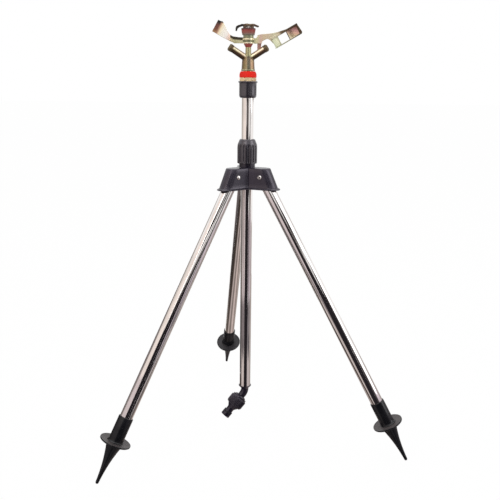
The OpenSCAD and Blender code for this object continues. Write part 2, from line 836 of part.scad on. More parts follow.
module head_body() {
  rib_w = 4.4;
  rib_out = 0.9;
  foot_h = 2.4;
  top_r = body_top_d / 2;
  foot_r = body_foot_d / 2;
  chamber_r = 5;
  color("#8f8a5a")
    difference() {
      union() {
        on_head(body_z) {
          cylinder(r = foot_r, h = foot_h);
          translate([0, 0, foot_h]) cylinder(r1 = foot_r - 0.5, r2 = top_r, h = body_h - foot_h - 1);
          translate([0, 0, body_h - 1]) cylinder(r1 = top_r, r2 = top_r - 3, h = 3);
          translate([0, 0, barrel_root]) cylinder(d = post_d, h = post_h - barrel_root);
          for (side = [-1, 1])
            scale([1, side, 1])
              body_rib(rib_w, rib_out);
        }
        for (side = [0, 180])
          on_barrel(side) cylinder(r = barrel_r, h = barrel_l);
      }
      on_head(body_z) {
        translate([0, 0, -1]) cylinder(r = stem_r + set_fit, h = stem_grip + 1);
        cylinder(r = chamber_r, h = barrel_root);
        translate([0, 0, post_h - pin_grip]) cylinder(r = pin_r + set_fit, h = pin_grip + 1);
      }
      for (side = [0, 180])
        on_barrel(side) {
          cylinder(d = barrel_bore, h = barrel_l + 1);
          translate([0, 0, barrel_l - nozzle_spigot_l])
            cylinder(r = nozzle_spigot_r + set_fit, h = nozzle_spigot_l + 1);
        }
    }
}

// The raised rib down the middle of the body, with a round lower end
module body_rib(width, out) {
  rib_bottom = 5.2;
  face = body_top_d / 2 + out;
  intersection() {
    translate([0, 0, 0]) cylinder(r1 = body_foot_d / 2 + 0.4, r2 = face, h = body_h + 2);
    union() {
      translate([-width / 2, -face - 2, rib_bottom]) cube([width, face, body_h - rib_bottom]);
      translate([0, -face - 2, rib_bottom]) rotate([-90, 0, 0]) cylinder(d = width, h = face);
    }
  }
}

// A nozzle: a spigot screwed into the barrel and a chamfered mouth piece
module nozzle(side) {
  color("#5a5638")
    on_barrel(side)
      translate([0, 0, barrel_l])
        difference() {
          union() {
            translate([0, 0, 0.5 - nozzle_spigot_l]) cylinder(r = nozzle_spigot_r, h = nozzle_spigot_l);
            rotate_extrude()
              polygon([[0, 0], [nozzle_r - 0.4, 0], [nozzle_r, 0.4], [nozzle_r, nozzle_l - 1.8],
                [nozzle_r - 1.3, nozzle_l], [0, nozzle_l]]);
          }
          translate([0, 0, -nozzle_spigot_l]) cylinder(d = nozzle_mouth, h = 2 * nozzle_spigot_l + nozzle_l);
          translate([0, 0, -nozzle_spigot_l])
            cylinder(d1 = barrel_bore, d2 = nozzle_mouth, h = nozzle_spigot_l);
        }
}

module right_nozzle() nozzle(0);
module left_nozzle() nozzle(180);

// ---- Impact arm ------------------------------------------------------------------------------

// The steel pin on top of the post that the arm swings on
module pivot_pin() {
  point = 0.6;
  color("#c9c7c4")
    on_head(post_top - pin_grip) {
      cylinder(r = pin_r, h = cap_top + point - post_top + pin_grip - point);
      translate([0, 0, cap_top - post_top + pin_grip]) cylinder(r1 = pin_r, r2 = pin_r - point, h = point);
    }
}

module cone_washer() {
  color("#a3261c")
    on_head(post_top)
      difference() {
        union() {
          cylinder(d1 = post_d, d2 = cone_d, h = cone_h - 1);
          translate([0, 0, cone_h - 1]) cylinder(d = cone_d, h = 1);
        }
        translate([0, 0, -1]) cylinder(r = pin_r + set_fit, h = cone_h + 2);
      }
}

// Put the children in the drive frame's own axes: X along it, Y front to back, Z across it
module in_drive_frame() {
  translate([frame_r, 0, frame_rise])
    rotate([0, -frame_slope, 0])
      children();
}

// The rails, end wall, slanted vane and curved spoon that the jet plays on
module drive_frame() {
  half = frame_depth / 2;
  vane_set = 0.8;
  vane_skew = 3.4;
  in_drive_frame() {
    translate([0, -half, -top_rail_t]) cube([frame_l - 1, frame_depth, top_rail_t]);
    translate([0, -half, -frame_w]) cube([frame_l - 3, frame_depth, rail_t]);
    rotate([90, 0, 0])
      linear_extrude(height = frame_depth, center = true)
        polygon([[frame_l - 3, 0], [frame_l - 0.4, 0], [frame_l + 1.4, 3 - frame_w],
          [frame_l + 1.1, 1.5 - frame_w], [frame_l + 0.1, 0.4 - frame_w], [frame_l - 1.6, -frame_w],
          [frame_l - 4, -frame_w], [frame_l - 4, rail_t - frame_w], [frame_l - 1.9, rail_t - frame_w + 0.1],
          [frame_l - 0.6, rail_t - frame_w + 1.4], [frame_l - 2.2, -rail_t], [frame_l - 3, -rail_t]]);
    intersection() {
      translate([0, -half, -frame_w]) cube([vane_l, frame_depth, frame_w - 0.2]);
      translate([0, vane_set - half, -frame_w])
        rotate([0, 0, atan(vane_skew / vane_l)])
          translate([-1, 0, 0])
            cube([vane_l + 3, rail_t, frame_w]);
    }
    intersection() {
      translate([spoon_start, -half, -frame_w]) cube([spoon_l, frame_depth, frame_w - 0.2]);
      translate([spoon_start, half - spoon_r, -frame_w])
        difference() {
          cylinder(r = spoon_r, h = frame_w, $fn = 180);
          translate([0, 0, -1]) cylinder(r = spoon_r - rail_t, h = frame_w + 2, $fn = 180);
        }
    }
  }
}

// The bar that joins the hub, the lug and the drive frame, seen from the front
module arm_web() {
  rotate([90, 0, 0])
    linear_extrude(height = web_t, center = true)
      polygon([[0, 0.2], [19.6, 0.2], [20.2, 3.4], [23.5, 5.5], [27.5, 7.2], [30.4, 6.4],
        [33.6, 3.8], [36.8, 0.6], [39, 3], [39.4, 10.4], [57.5, 21], [57.5, 22.1], [52.9, 20.4],
        [43.1, 17], [35.3, 15.2], [28.4, 14.3], [17.2, 13.2], [14.2, 11.8], [12.4, 9.4],
        [11.4, 7.8], [0, 7.8]]);
}

// The counterweight plate with its folded rim
module counterweight() {
  plate = 2;
  rim_lean = 29;
  rim_fold = 140;
  rim_low = 16.4;
  fold_in = -fan_rim * cos(rim_fold);
  fold_low = [-fan_reach + fold_in * cos(rim_lean), rim_low - fold_in * sin(rim_lean)];
  fold_high = fold_low + fan_edge * [sin(rim_lean), cos(rim_lean)];
  rotate([90, 0, 0])
    linear_extrude(height = web_t, center = true)
      polygon([[0, 0.4], [-7.6, 0.3], [-20.3, 0.2], [-28, 4.2], [-28, 13.2], [-25.6, 10.4],
        [-23, 9.9], [-20.3, 9.5], [-13.5, 8.7], [0, 8.5]]);
  rotate([90, 0, 0])
    linear_extrude(height = plate, center = true)
      polygon([[-19, 0.5], [-25.3, 2.4], [-30.7, 4.9], [-36.7, 7.6], [-43.8, 11.5], fold_low,
        fold_high, [-38.2, 30.6], [-37, 29.4], [-33.4, 23.7], [-29, 16], [-26.6, 11.8], [-23, 10.2]]);
  translate([fold_low[0], 0, fold_low[1]])
    rotate([0, rim_lean, 0])
      rotate([0, 0, rim_fold])
        translate([-0.2, -plate / 2, 0])
          cube([fan_rim, plate, fan_edge]);
}

// The lug that strikes the right barrel when the arm comes back
module strike_lug() {
  lug_t = 3.2;
  lug_y = barrel_r + run_gap;
  lug_top = 12.4;
  lug_bottom = -9.5;
  translate([lug_r - lug_w / 2, -web_t / 2, 1.6]) cube([lug_w, lug_y + lug_t + web_t / 2, lug_top - 1.6]);
  translate([lug_r - lug_w / 2, lug_y, lug_bottom]) cube([lug_w, lug_t, lug_top - lug_bottom]);
}

module impact_arm() {
  groove_z = 3.4;
  color("#d9cfa6")
    on_head(arm_z)
      difference() {
        union() {
          difference() {
            cylinder(r = arm_hub_r, h = arm_hub_h);
            translate([0, 0, groove_z - 1.4]) ring(arm_hub_r + 1, arm_hub_r - 0.8, 2.8);
          }
          arm_web();
          counterweight();
          strike_lug();
          drive_frame();
        }
        translate([0, 0, -1]) cylinder(r = bush_r + set_fit, h = arm_hub_h + 2);
      }
}

module arm_bush() {
  color("#e6e1d2") on_head(arm_z) ring(bush_r, pin_r + run_fit, arm_hub_h);
}

// ---- Arm spring ------------------------------------------------------------------------------

cup_wall = 1.4;
cup_floor = 1.6;
sleeve_r = 3.2;

// The dark red cup round the arm's spring, fixed on top of the arm's hub
module spring_cup() {
  color("#96322b")
    on_head(arm_top)
      difference() {
        rotate_extrude()
          polygon([[0, 0], [cup_foot_d / 2 - 0.4, 0], [cup_foot_d / 2, 0.4], [cup_foot_d / 2, 1.6],
            [cup_foot_d / 2 + 0.3, 2], [cup_d / 2, cup_h - 1.4], [cup_d / 2, cup_h], [0, cup_h]]);
        translate([0, 0, cup_floor])
          cylinder(r1 = cup_foot_d / 2 - cup_wall, r2 = cup_d / 2 - cup_wall, h = cup_h - cup_floor + 0.01);
        translate([0, 0, -1]) cylinder(r = sleeve_r + run_gap + 0.3, h = cup_h);
      }
}

module arm_spring() {
  color("#b9bcc0")
    on_head(arm_top + cup_floor)
      coil(cup_foot_d / 2 - cup_wall - run_gap - arm_wire / 2 - 0.4, arm_wire, arm_turns, cup_h - cup_floor);
}

// The star-shaped adjuster that sets the spring's tension, on a sleeve round the pin
module spring_adjuster() {
  plate_z = cap_top - arm_top - cap_t;
  tab_bottom = cup_h + run_gap;
  tab_w = 4;
  tab_r = cap_d / 2 - cap_t - 0.7;
  color("#6f6a4c")
    on_head(arm_top)
      difference() {
        union() {
          translate([0, 0, run_gap]) cylinder(r = sleeve_r, h = plate_z - run_gap + 0.5);
          translate([0, 0, plate_z])
            linear_extrude(height = cap_t) {
              circle(d = cap_d - 3);
              for (a = [10, 70, 130])
                rotate(a)
                  square([cap_d + 4.6, 5], center = true);
            }
          for (a = [35, 145, 215, 325])
            rotate([0, 0, a])
              translate([tab_r, -tab_w / 2, tab_bottom])
                cube([cap_t, tab_w, plate_z - tab_bottom + 0.5]);
          rotate([90, 0, 0])
            linear_extrude(height = tab_w, center = true) {
              polygon([[-6, plate_z + 0.2], [-9.4, plate_z - 0.6], [-13.6, plate_z - 2.2],
                [-15.8, plate_z - 4], [-16.8, plate_z - 7.3], [-18.8, plate_z - 7.2],
                [-18.8, plate_z - 3], [-17.8, plate_z - 0.6], [-15, plate_z + 0.9],
                [-10.2, plate_z + 2.2], [-6, plate_z + 2.2]]);
              polygon([[6, plate_z + 0.2], [9, plate_z - 0.4], [13.4, plate_z - 1.8],
                [15.2, plate_z - 1.2], [14.8, plate_z + 0.6], [9.8, plate_z + 2.1],
                [6, plate_z + 2.2]]);
            }
        }
        cylinder(r = pin_r + set_fit, h = 2 * cap_h + cup_h);
      }
}

hub();
pivot_rivets();
pivot_rings();
lock_nut();
clamp_collet();
left_leg_tube();
left_leg_plug();
left_foot();
right_leg_tube();
right_leg_plug();
right_foot();
back_leg_tube();
back_leg_plug();
back_foot();
mast_tube();
head_adapter();
adapter_washer();
elbow();
mast_seal();
union_nut();
union_washer();
hose_nipple();
nipple_o_ring();
bearing_sleeve();
thrust_spring();
dust_ring();
bearing_stem();
stem_washer();
stem_seal();
head_body();
left_nozzle();
right_nozzle();
pivot_pin();
cone_washer();
spring_adjuster();
impact_arm();
arm_bush();
spring_cup();
arm_spring();
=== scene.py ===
from math import cos, hypot, pi, radians, sin, sqrt, tan, tau

import bmesh
import bpy
from mathutils import Matrix, Vector


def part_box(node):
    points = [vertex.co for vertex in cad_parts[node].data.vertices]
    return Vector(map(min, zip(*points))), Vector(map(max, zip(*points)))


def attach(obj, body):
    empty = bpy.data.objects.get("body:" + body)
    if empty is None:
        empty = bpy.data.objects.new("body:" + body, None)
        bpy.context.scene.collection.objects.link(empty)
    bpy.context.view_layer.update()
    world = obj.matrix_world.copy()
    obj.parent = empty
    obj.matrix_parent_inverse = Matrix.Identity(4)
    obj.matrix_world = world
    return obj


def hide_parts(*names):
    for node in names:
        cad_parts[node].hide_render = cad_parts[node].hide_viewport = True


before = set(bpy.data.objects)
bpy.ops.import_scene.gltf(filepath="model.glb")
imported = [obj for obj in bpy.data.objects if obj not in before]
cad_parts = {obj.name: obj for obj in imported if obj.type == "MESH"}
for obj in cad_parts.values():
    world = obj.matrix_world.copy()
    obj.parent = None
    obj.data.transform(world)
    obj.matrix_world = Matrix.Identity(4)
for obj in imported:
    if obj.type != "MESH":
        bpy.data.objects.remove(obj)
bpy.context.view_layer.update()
scene = bpy.context.scene

# ---- Floor, light and camera --------------------------------------------------------------------
# A pale floor under a white surround, two large soft lamps and a top light. Grey and dark cards
# stand outside the picture, seen only by polished surfaces, as a studio uses them for chrome.

MM = 0.001
low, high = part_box("mast_tube")
mast_x = (low.x + high.x) / 2 / MM
mast_y = (low.y + high.y) / 2 / MM


class Socket:
    """A value in a material's nodes: arithmetic on it adds the Math nodes."""

    def __init__(self, tree, link):
        self.tree = tree
        self.link = link

    def math(self, operation, *values):
        node = self.tree.nodes.new("ShaderNodeMath")
        node.operation = operation
        for entry, value in zip(node.inputs, values):
            plug(self.tree, entry, value)
        return Socket(self.tree, node.outputs[0])

    def __add__(self, other):
        return self.math("ADD", self, other)

    def __sub__(self, other):
        return self.math("SUBTRACT", self, other)

    def __rsub__(self, other):
        return self.math("SUBTRACT", other, self)

    def __mul__(self, other):
        return self.math("MULTIPLY", self, other)

    def __gt__(self, other):
        return self.math("GREATER_THAN", self, other)

    __radd__ = __add__
    __rmul__ = __mul__


def plug(tree, entry, value):
    """Links a socket to an input, or sets the input to a plain value."""
    if isinstance(value, Socket):
        tree.links.new(value.link, entry)
    else:
        entry.default_value = value


class Nodes:
    """The nodes of one material or world, added with add()."""

    def __init__(self, owner):
        owner.use_nodes = True
        self.tree = owner.node_tree
        self.tree.nodes.clear()

    def add(self, kind, settings=None, inputs=None, output=0):
        """Adds a node of a kind, sets its settings, then its inputs, and returns one output."""
        node = self.tree.nodes.new("ShaderNode" + kind)
        for name, value in (settings or {}).items():
            if name == "stops":
                ramp = node.color_ramp.elements
                while len(ramp) < len(value):
                    ramp.new(0.5)
                for element, (position, colour) in zip(ramp, value):
                    element.position = position
                    element.color = (*colour, 1)
            else:
                setattr(node, name, value)
        for name, value in (inputs or {}).items():
            if isinstance(value, tuple) and len(value) == 3 and node.inputs[name].type == "RGBA":
                value = (*value, 1)
            plug(self.tree, node.inputs[name], value)
        return Socket(self.tree, node.outputs[output]) if node.outputs else None


def seen_directly(nodes):
    """1 for camera, mirror and see-through rays, 0 for the rays that light the object."""
    rays = [nodes.add("LightPath", output=name) for name in
            ("Is Camera Ray", "Is Glossy Ray", "Is Transmission Ray")]
    return (rays[0] + rays[1] + rays[2]) > 0.5


def studio_world():
    """Even, slightly warm light on the object, and plain white where the world itself is seen."""
    world = bpy.data.worlds.new("studio")
    scene.world = world
    nodes = Nodes(world)
    around = nodes.add("Background", inputs={"Color": (1.0, 0.985, 0.975), "Strength": 0.56})
    shown = nodes.add("Background", inputs={"Color": (1.0, 1.0, 1.0), "Strength": 1.0})
    both = nodes.add("MixShader", inputs={0: 1 - seen_directly(nodes), 1: shown, 2: around})
    nodes.add("OutputWorld", inputs={"Surface": both})


def added(name, mesh):
    """Puts a mesh in the scene as a new object."""
    data = bpy.data.meshes.new(name)
    mesh.to_mesh(data)
    mesh.free()
    made = bpy.data.objects.new(name, data)
    scene.collection.objects.link(made)
    return made


def studio_floor():
    """A white floor, but for the small share of its paint that takes the object's shadow."""
    size = 30.0
    white_share = 0.985
    mesh = bmesh.new()
    bmesh.ops.create_grid(mesh, x_segments=1, y_segments=1, size=size)
    floor = added("floor", mesh)
    paint = bpy.data.materials.new("pale_floor")
    nodes = Nodes(paint)
    lit = nodes.add("BsdfDiffuse", inputs={"Color": (0.9, 0.9, 0.9)})
    white = nodes.add("Emission", inputs={"Color": (1.0, 1.0, 1.0), "Strength": 1.0})
    both = nodes.add("MixShader", inputs={0: seen_directly(nodes) * white_share, 1: lit, 2: white})
    nodes.add("OutputMaterial", inputs={"Surface": both})
    floor.data.materials.append(paint)
    floor.visible_glossy = False


def soft_lamp(name, place, aim_z, size, power, tint):
    """A square or tall soft lamp, aimed at a height over the middle of the floor."""
    lamp = bpy.data.lights.new(name, "AREA")
    lamp.shape = "RECTANGLE"
    lamp.size, lamp.size_y = size
    lamp.energy = power
    lamp.color = tint
    holder = bpy.data.objects.new(name, lamp)
    holder.location = place
    ahead = Vector((0, 0, aim_z)) - Vector(place)
    holder.rotation_euler = ahead.to_track_quat("-Z", "Y").to_euler()
    scene.collection.objects.link(holder)


def card(name, shade, corners):
    """A matt card that only polished surfaces mirror, from its corners round the mast."""
    mesh = bmesh.new()
    middle = Vector((0, mast_y * MM, 0))
    mesh.faces.new([mesh.verts.new(middle + Vector(corner)) for corner in corners])
    board = added(name, mesh)
    paint = bpy.data.materials.new(name)
    nodes = Nodes(paint)
    cloth = nodes.add("Emission", inputs={"Color": shade, "Strength": 1.0})
    nodes.add("OutputMaterial", inputs={"Surface": cloth})
    board.data.materials.append(paint)
    for rays in ("camera", "diffuse", "shadow", "transmission"):
        setattr(board, "visible_" + rays, False)


def upright_card(name, shade, start, end, bottom, top):
    """A card standing between two bearings from the mast, in degrees, and two heights."""
    distance = 0.75
    turn = Matrix.Rotation(radians((start + end) / 2), 3, "Z")
    half = distance * tan(radians((end - start) / 2))
    card(name, shade, [turn @ Vector((distance, side * half, z))
                       for side, z in ((-1, bottom), (1, bottom), (1, top), (-1, top))])


studio_world()
studio_floor()
soft_lamp("left_softbox", (-1.5, -1.5, 1.6), 0.35, (1.4, 1.4), 19.0, (1.0, 0.97, 0.94))
soft_lamp("right_softbox", (1.7, -1.0, 1.2), 0.35, (1.2, 1.6), 12.0, (0.97, 0.98, 1.0))
soft_lamp("top_light", (0.1, 0.3, 2.2), 0.3, (1.6, 1.6), 11.0, (1.0, 1.0, 1.0))
foot_z = -0.6
upright_cards = {
    "front": ((0.02, 0.017, 0.02), 237, 272, foot_z, 0.46),
    "front_right": ((0.02, 0.017, 0.02), 272, 296, foot_z, 0.425),
    "front_band": ((0.13, 0.115, 0.11), 243, 272, 0.46, 0.54),
    "band_right": ((0.26, 0.24, 0.23), 272, 285, 0.425, 0.54),
    "front_high": ((0.035, 0.03, 0.03), 277, 297, 0.54, 0.72),
    "front_edge": ((0.03, 0.028, 0.032), 296, 312, 0.27, 0.43),
    "left": ((0.68, 0.6, 0.61), 182, 237, -0.03, 0.36),
    "left_top": ((0.95, 0.86, 0.81), 182, 237, 0.36, 1.1),
    "left_band": ((0.24, 0.21, 0.22), 182, 237, -0.2, -0.03),
    "left_low": ((0.62, 0.55, 0.53), 182, 237, foot_z, -0.2),
    "rear_left": ((0.26, 0.23, 0.22), 150, 182, -0.03, 0.4),
    "rear_left_top": ((0.72, 0.67, 0.62), 150, 182, 0.4, 0.62),
    "rear_left_band": ((0.13, 0.115, 0.115), 150, 182, -0.25, -0.03),
    "rear_left_low": ((0.05, 0.04, 0.035), 140, 182, foot_z, -0.25),
    "rear": ((0.15, 0.13, 0.13), 118, 150, -0.03, 0.4),
    "rear_top": ((0.42, 0.39, 0.36), 118, 150, 0.4, 0.62),
    "rear_band": ((0.05, 0.045, 0.045), 118, 150, -0.25, -0.03),
    "rear_low": ((0.2, 0.17, 0.15), 118, 140, foot_z, -0.25),
    "right": ((0.62, 0.545, 0.6), 296, 357, -0.03, 0.22),
    "right_band": ((0.24, 0.22, 0.235), 302, 357, -0.2, -0.03),
    "right_low": ((0.58, 0.52, 0.52), 302, 357, -0.32, -0.2),
    "right_foot": ((0.13, 0.12, 0.12), 302, 357, foot_z, -0.32),
    "right_low_edge": ((0.03, 0.028, 0.03), 296, 302, foot_z, -0.03),
    "right_top": ((0.4, 0.385, 0.38), 306, 324, 0.22, 0.6),
    "right_sleeve": ((0.3, 0.27, 0.25), 12, 52, 0.525, 0.6),
    "far_right": ((0.45, 0.4, 0.38), 357, 395, foot_z, 0.2),
    "rear_right": ((0.4, 0.34, 0.31), 35, 60, foot_z, 0.05),
}
for name, (shade, start, end, bottom, top) in upright_cards.items():
    upright_card(name, shade, start, end, bottom, top)
# narrow cards close in front put thin dark lines on the tubes
near_y = -0.45
near_cards = [(-0.27, -0.01, 0.525, 0.645, 0.035), (0.12, 0.3, 0.54, 0.6, 0.035),
              (0.25, 0.42, 0.34, 0.45, 0.03), (0.27, 0.45, 0.0, 0.25, 0.06)]
for left_x, right_x, bottom, top, shade in near_cards:
    card("near_card", (shade, shade * 0.9, shade * 0.9),
         [(left_x, near_y, bottom), (right_x, near_y, bottom),
          (right_x, near_y, top), (left_x, near_y, top)])
# strips below the floor, which polished surfaces see through it
strips = [(-0.9, (0.055, 0.042, 0.036)), (-0.5, (0.22, 0.185, 0.17)), (-0.36, (0.55, 0.47, 0.45)),
          (-0.18, (0.25, 0.21, 0.195)), (0.15, (0.62, 0.52, 0.49)), (0.5, (0.24, 0.2, 0.18))]
strip_end = 0.9
for (left_x, shade), right_x in zip(strips, [x for x, _ in strips[1:]] + [strip_end]):
    card("low_strip", shade,
         [(left_x, -strip_end, foot_z), (right_x, -strip_end, foot_z),
          (right_x, strip_end, foot_z), (left_x, strip_end, foot_z)])

camera = bpy.data.objects.new("camera", bpy.data.cameras.new("camera"))
scene.collection.objects.link(camera)
scene.camera = camera
camera.data.sensor_width = 36.0
camera.data.lens = 46.0
eye = Vector((-0.1404, -0.968 + mast_y * MM, 0.5508))
target = Vector((0.0059, -0.0009 + mast_y * MM, 0.3073))
roll = 0.0117
ahead = (target - eye).normalized()
right = ahead.cross(Vector((0, 0, 1))).normalized()
above = right.cross(ahead)
right, above = (right * cos(roll) + above * sin(roll),
                above * cos(roll) - right * sin(roll))
camera.matrix_world = Matrix.Translation(eye) @ Matrix(
    (right, above, -ahead)).transposed().to_4x4()
scene.view_settings.view_transform = "Standard"

# ---- Hub ----------------------------------------------------------------------------------------
# A black moulding with three hollow arms round a central boss. Each arm is a channel for one
# leg, open below, with a rounded sloping end and a small lip round the bottom edge.

leg_azimuths = {"back_leg": 90.0, "left_leg": 210.0, "right_leg": 330.0}


def eased(profile, radius):
    """The same profile with its corners rounded, as far as their sides allow."""
    arc = 3
    nearly_straight = radians(165)
    longest_share = 0.45
    rounded = []
    count = len(profile)
    for i, corner in enumerate(profile):
        here = Vector(corner)
        before = Vector(profile[i - 1]) - here
        after = Vector(profile[(i + 1) % count]) - here
        if corner[0] < 1e-6 or before.length < 1e-6 or after.length < 1e-6:
            rounded.append(corner)
            continue
        bend = before.angle(after)
        if bend > nearly_straight:
            rounded.append(corner)
            continue
        reach = min(radius / tan(bend / 2), longest_share * before.length,
                    longest_share * after.length)
        start = here + before.normalized() * reach
        end = here + after.normalized() * reach
        for step in range(arc + 1):
            t = step / arc
            rounded.append(tuple(start.lerp(here, t).lerp(here.lerp(end, t), t)))
    return rounded


def turned(profile, place, shape=None, steps=96, loop=True, mesh=None):
    """Sweeps a profile of (radius, height) points round an axis, into a new or given mesh.
    shape(angle, radius, height) gives the radius where the piece isn't round."""
    mesh = mesh or bmesh.new()
    rings = []
    for radius, height in profile:
        if not callable(radius) and radius < 1e-6:
            rings.append([mesh.verts.new(place @ Vector((0, 0, height)))])
            continue
        ring = []
        for step in range(steps):
            angle = tau * step / steps
            reach = radius(angle, height) if callable(radius) else radius
            reach = shape(angle, reach, height) if shape else reach
            point = Vector((reach * cos(angle), reach * sin(angle), height))
            ring.append(mesh.verts.new(place @ point))
        rings.append(ring)
    following = rings[1:] + (rings[:1] if loop else [])
    for ring, other in zip(rings, following):
        if len(ring) == 1 and len(other) == 1:
            continue
        for step in range(steps):
            after = (step + 1) % steps
            corners = [ring[step % len(ring)], ring[after % len(ring)],
                       other[after % len(other)], other[step % len(other)]]
            mesh.faces.new(list(dict.fromkeys(corners)))
    return mesh


def piece(name, mesh, finish, body, slot, *nodes, crease=38.0):
    """Makes a mesh, given in millimetres, a piece of the object that rides on a body."""
    bmesh.ops.recalc_face_normals(mesh, faces=mesh.faces)
    bmesh.ops.scale(mesh, vec=(MM, MM, MM), verts=mesh.verts)
    made = added(name, mesh)
    made.data.materials.append(finish)
    made.data.shade_smooth()
    made.data.set_sharp_from_angle(angle=radians(crease))
    if nodes:
        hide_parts(*nodes)
    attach(made, body)
    return made


def coated(nodes, tone, rough, bump, rest):
    """Ends a finish: one shader with its colour, its roughness, its bump and the rest."""
    skin = nodes.add("BsdfPrincipled", inputs={"Base Color": tone, "Roughness": rough,
                                               "Normal": bump, **rest})
    nodes.add("OutputMaterial", inputs={"Surface": skin})


def moulding(name, colour, gloss, grain, mottle=0.25, shine=0.5, sheen=(1.0, 1.0, 1.0)):
    """Moulded plastic: a colour that drifts a little, a fine grain and a few dull patches."""
    plastic = bpy.data.materials.new(name)
    nodes = Nodes(plastic)
    place = nodes.add("TexCoord", output="Object")
    drift = nodes.add("TexNoise", inputs={"Vector": place, "Scale": 55.0, "Detail": 3.0})
    fine = nodes.add("TexNoise", inputs={"Vector": place, "Scale": 1500.0, "Detail": 2.0})
    light = tuple(min(1.0, c * (1 + mottle) + 0.002) for c in colour)
    dark = tuple(c * (1 - mottle) for c in colour)
    tone = nodes.add("ValToRGB", {"stops": [(0.3, dark), (0.7, light)]}, {"Fac": drift})
    rough = gloss + drift * 0.12 + fine * 0.08 - 0.1
    bump = nodes.add("Bump", inputs={"Height": fine, "Strength": grain, "Distance": 0.0002})
    coated(nodes, tone, rough, bump, {"Specular IOR Level": shine, "Specular Tint": sheen})
    return plastic


black_moulding = moulding("black_moulding", (0.0075, 0.0056, 0.0135), 0.26, 0.3, shine=0.65,
                          sheen=(0.97, 0.89, 1.0))
on_mast = Matrix.Translation((mast_x, mast_y, 0))
hub_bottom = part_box("hub")[0].z / MM
hub_top = hub_bottom + 32.0
channel_half = 11.8


def star(half, end_r, slope, sharp):
    """The outline of three channels of one half width, joined in rounded valleys."""
    def outline(angle, height):
        end = end_r + (hub_top - height) * slope
        nose = half * sqrt(1 + slope * slope)
        total = 0.0
        for azimuth in leg_azimuths.values():
            off = angle - radians(azimuth)
            c, s = cos(off), sin(off)
            if c <= 0.05:
                continue
            # beyond its straight sides the channel ends in half an ellipse
            a = (c / nose) ** 2 + (s / half) ** 2
            b = -2 * end * c / nose ** 2
            root = b * b - 4 * a * ((end / nose) ** 2 - 1)
            reach = half / max(abs(s), 1e-6)
            if reach * c > end:
                reach = (-b + sqrt(max(root, 0.0))) / (2 * a)
            total += reach ** sharp
        return total ** (1 / sharp)
    return outline


def hub_mesh():
    slope = tan(radians(23.5))
    end_r = 24.4
    lip = 2.4
    wall = 2.0
    roof = 2.2
    core_r = 12.3
    collar_r = 12.2
    bore_r = 9.3
    thread_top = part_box("hub")[1].z / MM

    def outer(step):
        return star(channel_half + step, end_r, slope, 26)

    def inner(angle, height):
        return max(star(channel_half - wall, end_r, slope, 60)(angle, height), core_r + 0.02)

    turns = 8
    pitch = 2.0
    root_r = collar_r - 0.7
    profile = [(bore_r, thread_top), (collar_r - 0.6, thread_top), (collar_r, thread_top - 0.6)]
    for turn in range(turns):
        z = thread_top - 1.0 - turn * pitch
        profile += [(collar_r, z), (collar_r, z - 0.5), (root_r, z - 0.9), (root_r, z - 1.5)]
    profile += [(collar_r, thread_top - 1.2 - turns * pitch), (collar_r, hub_top + 0.7),
                (collar_r + 0.7, hub_top), (outer(-1.3), hub_top), (outer(-0.6), hub_top - 0.12),
                (outer(-0.2), hub_top - 0.45), (outer(0), hub_top - 1.0)]
    rows = 5
    wall_top = hub_top - 1.0
    wall_foot = hub_bottom + 3.6
    profile += [(outer(0), wall_top + (wall_foot - wall_top) * row / rows)
                for row in range(1, rows + 1)]
    profile += [(outer(0.35), hub_bottom + 2.6), (outer(1.1), hub_bottom + 2.1),
                (outer(lip - 0.4), hub_bottom + 1.7), (outer(lip), hub_bottom + 1.2),
                (outer(lip), hub_bottom + 0.4), (outer(lip - 0.4), hub_bottom),
                (inner, hub_bottom), (inner, hub_bottom + 1.0), (inner, hub_top - roof - 1.0),
                (inner, hub_top - roof), (core_r, hub_top - roof), (core_r, hub_bottom),
                (bore_r, hub_bottom)]
    return turned(profile, on_mast, steps=288)


piece("hub_moulding", hub_mesh(), black_moulding, "stand", "black_plastic", "hub", crease=30.0)

# ---- Rivets -------------------------------------------------------------------------------------
# Bright steel rivets through the hub's arms, one for each leg. One end has a domed head, and the
# other is hollow and spread over a push-on ring.


def rotated(degrees, axis):
    """A turn about one of the axes."""
    return Matrix.Rotation(radians(degrees), 4, axis)


def lifted(height):
    """A move along the Z axis, in millimetres."""
    return Matrix.Translation((0, 0, height))


def leg_frame(azimuth):
    """The frame of one leg as it stands: its pivot at the origin and its tip straight down."""
    pivot_r = 25.0
    pivot_drop = 13.1
    tilt = -30
    return (on_mast @ rotated(azimuth, "Z")
            @ Matrix.Translation((pivot_r, 0, hub_top - pivot_drop)) @ rotated(tilt, "Y"))


def polished(name, colour, gloss, streak, ripple=0.03, drawn=0.06, metallic=1.0):
    """Bright metal with faint drawing lines along Z and a slight ripple in its shine."""
    metal = bpy.data.materials.new(name)
    nodes = Nodes(metal)
    place = nodes.add("TexCoord", output="Object")
    stretched = nodes.add("Mapping", inputs={"Vector": place, "Scale": (1.0, 1.0, streak)})
    lines = nodes.add("TexNoise", inputs={"Vector": stretched, "Scale": 700.0, "Detail": 3.0})
    cloud = nodes.add("TexNoise", inputs={"Vector": place, "Scale": 40.0, "Detail": 2.0})
    dull = tuple(c * 0.9 for c in colour)
    tone = nodes.add("ValToRGB", {"stops": [(0.35, dull), (0.6, colour)]}, {"Fac": cloud})
    rough = lines * drawn + cloud * 0.04 + (gloss - 0.02 - drawn / 2)
    bump = nodes.add("Bump", inputs={"Height": lines, "Strength": ripple, "Distance": 0.0001})
    coated(nodes, tone, rough, bump, {"Metallic": metallic})
    return metal


rivet_steel = polished("rivet_steel", (0.86, 0.82, 0.79), 0.2, 1.0)
hollow_r = 1.55
hollow_floor = 3.0 - channel_half
hollow_mouth = -channel_half - 1.2


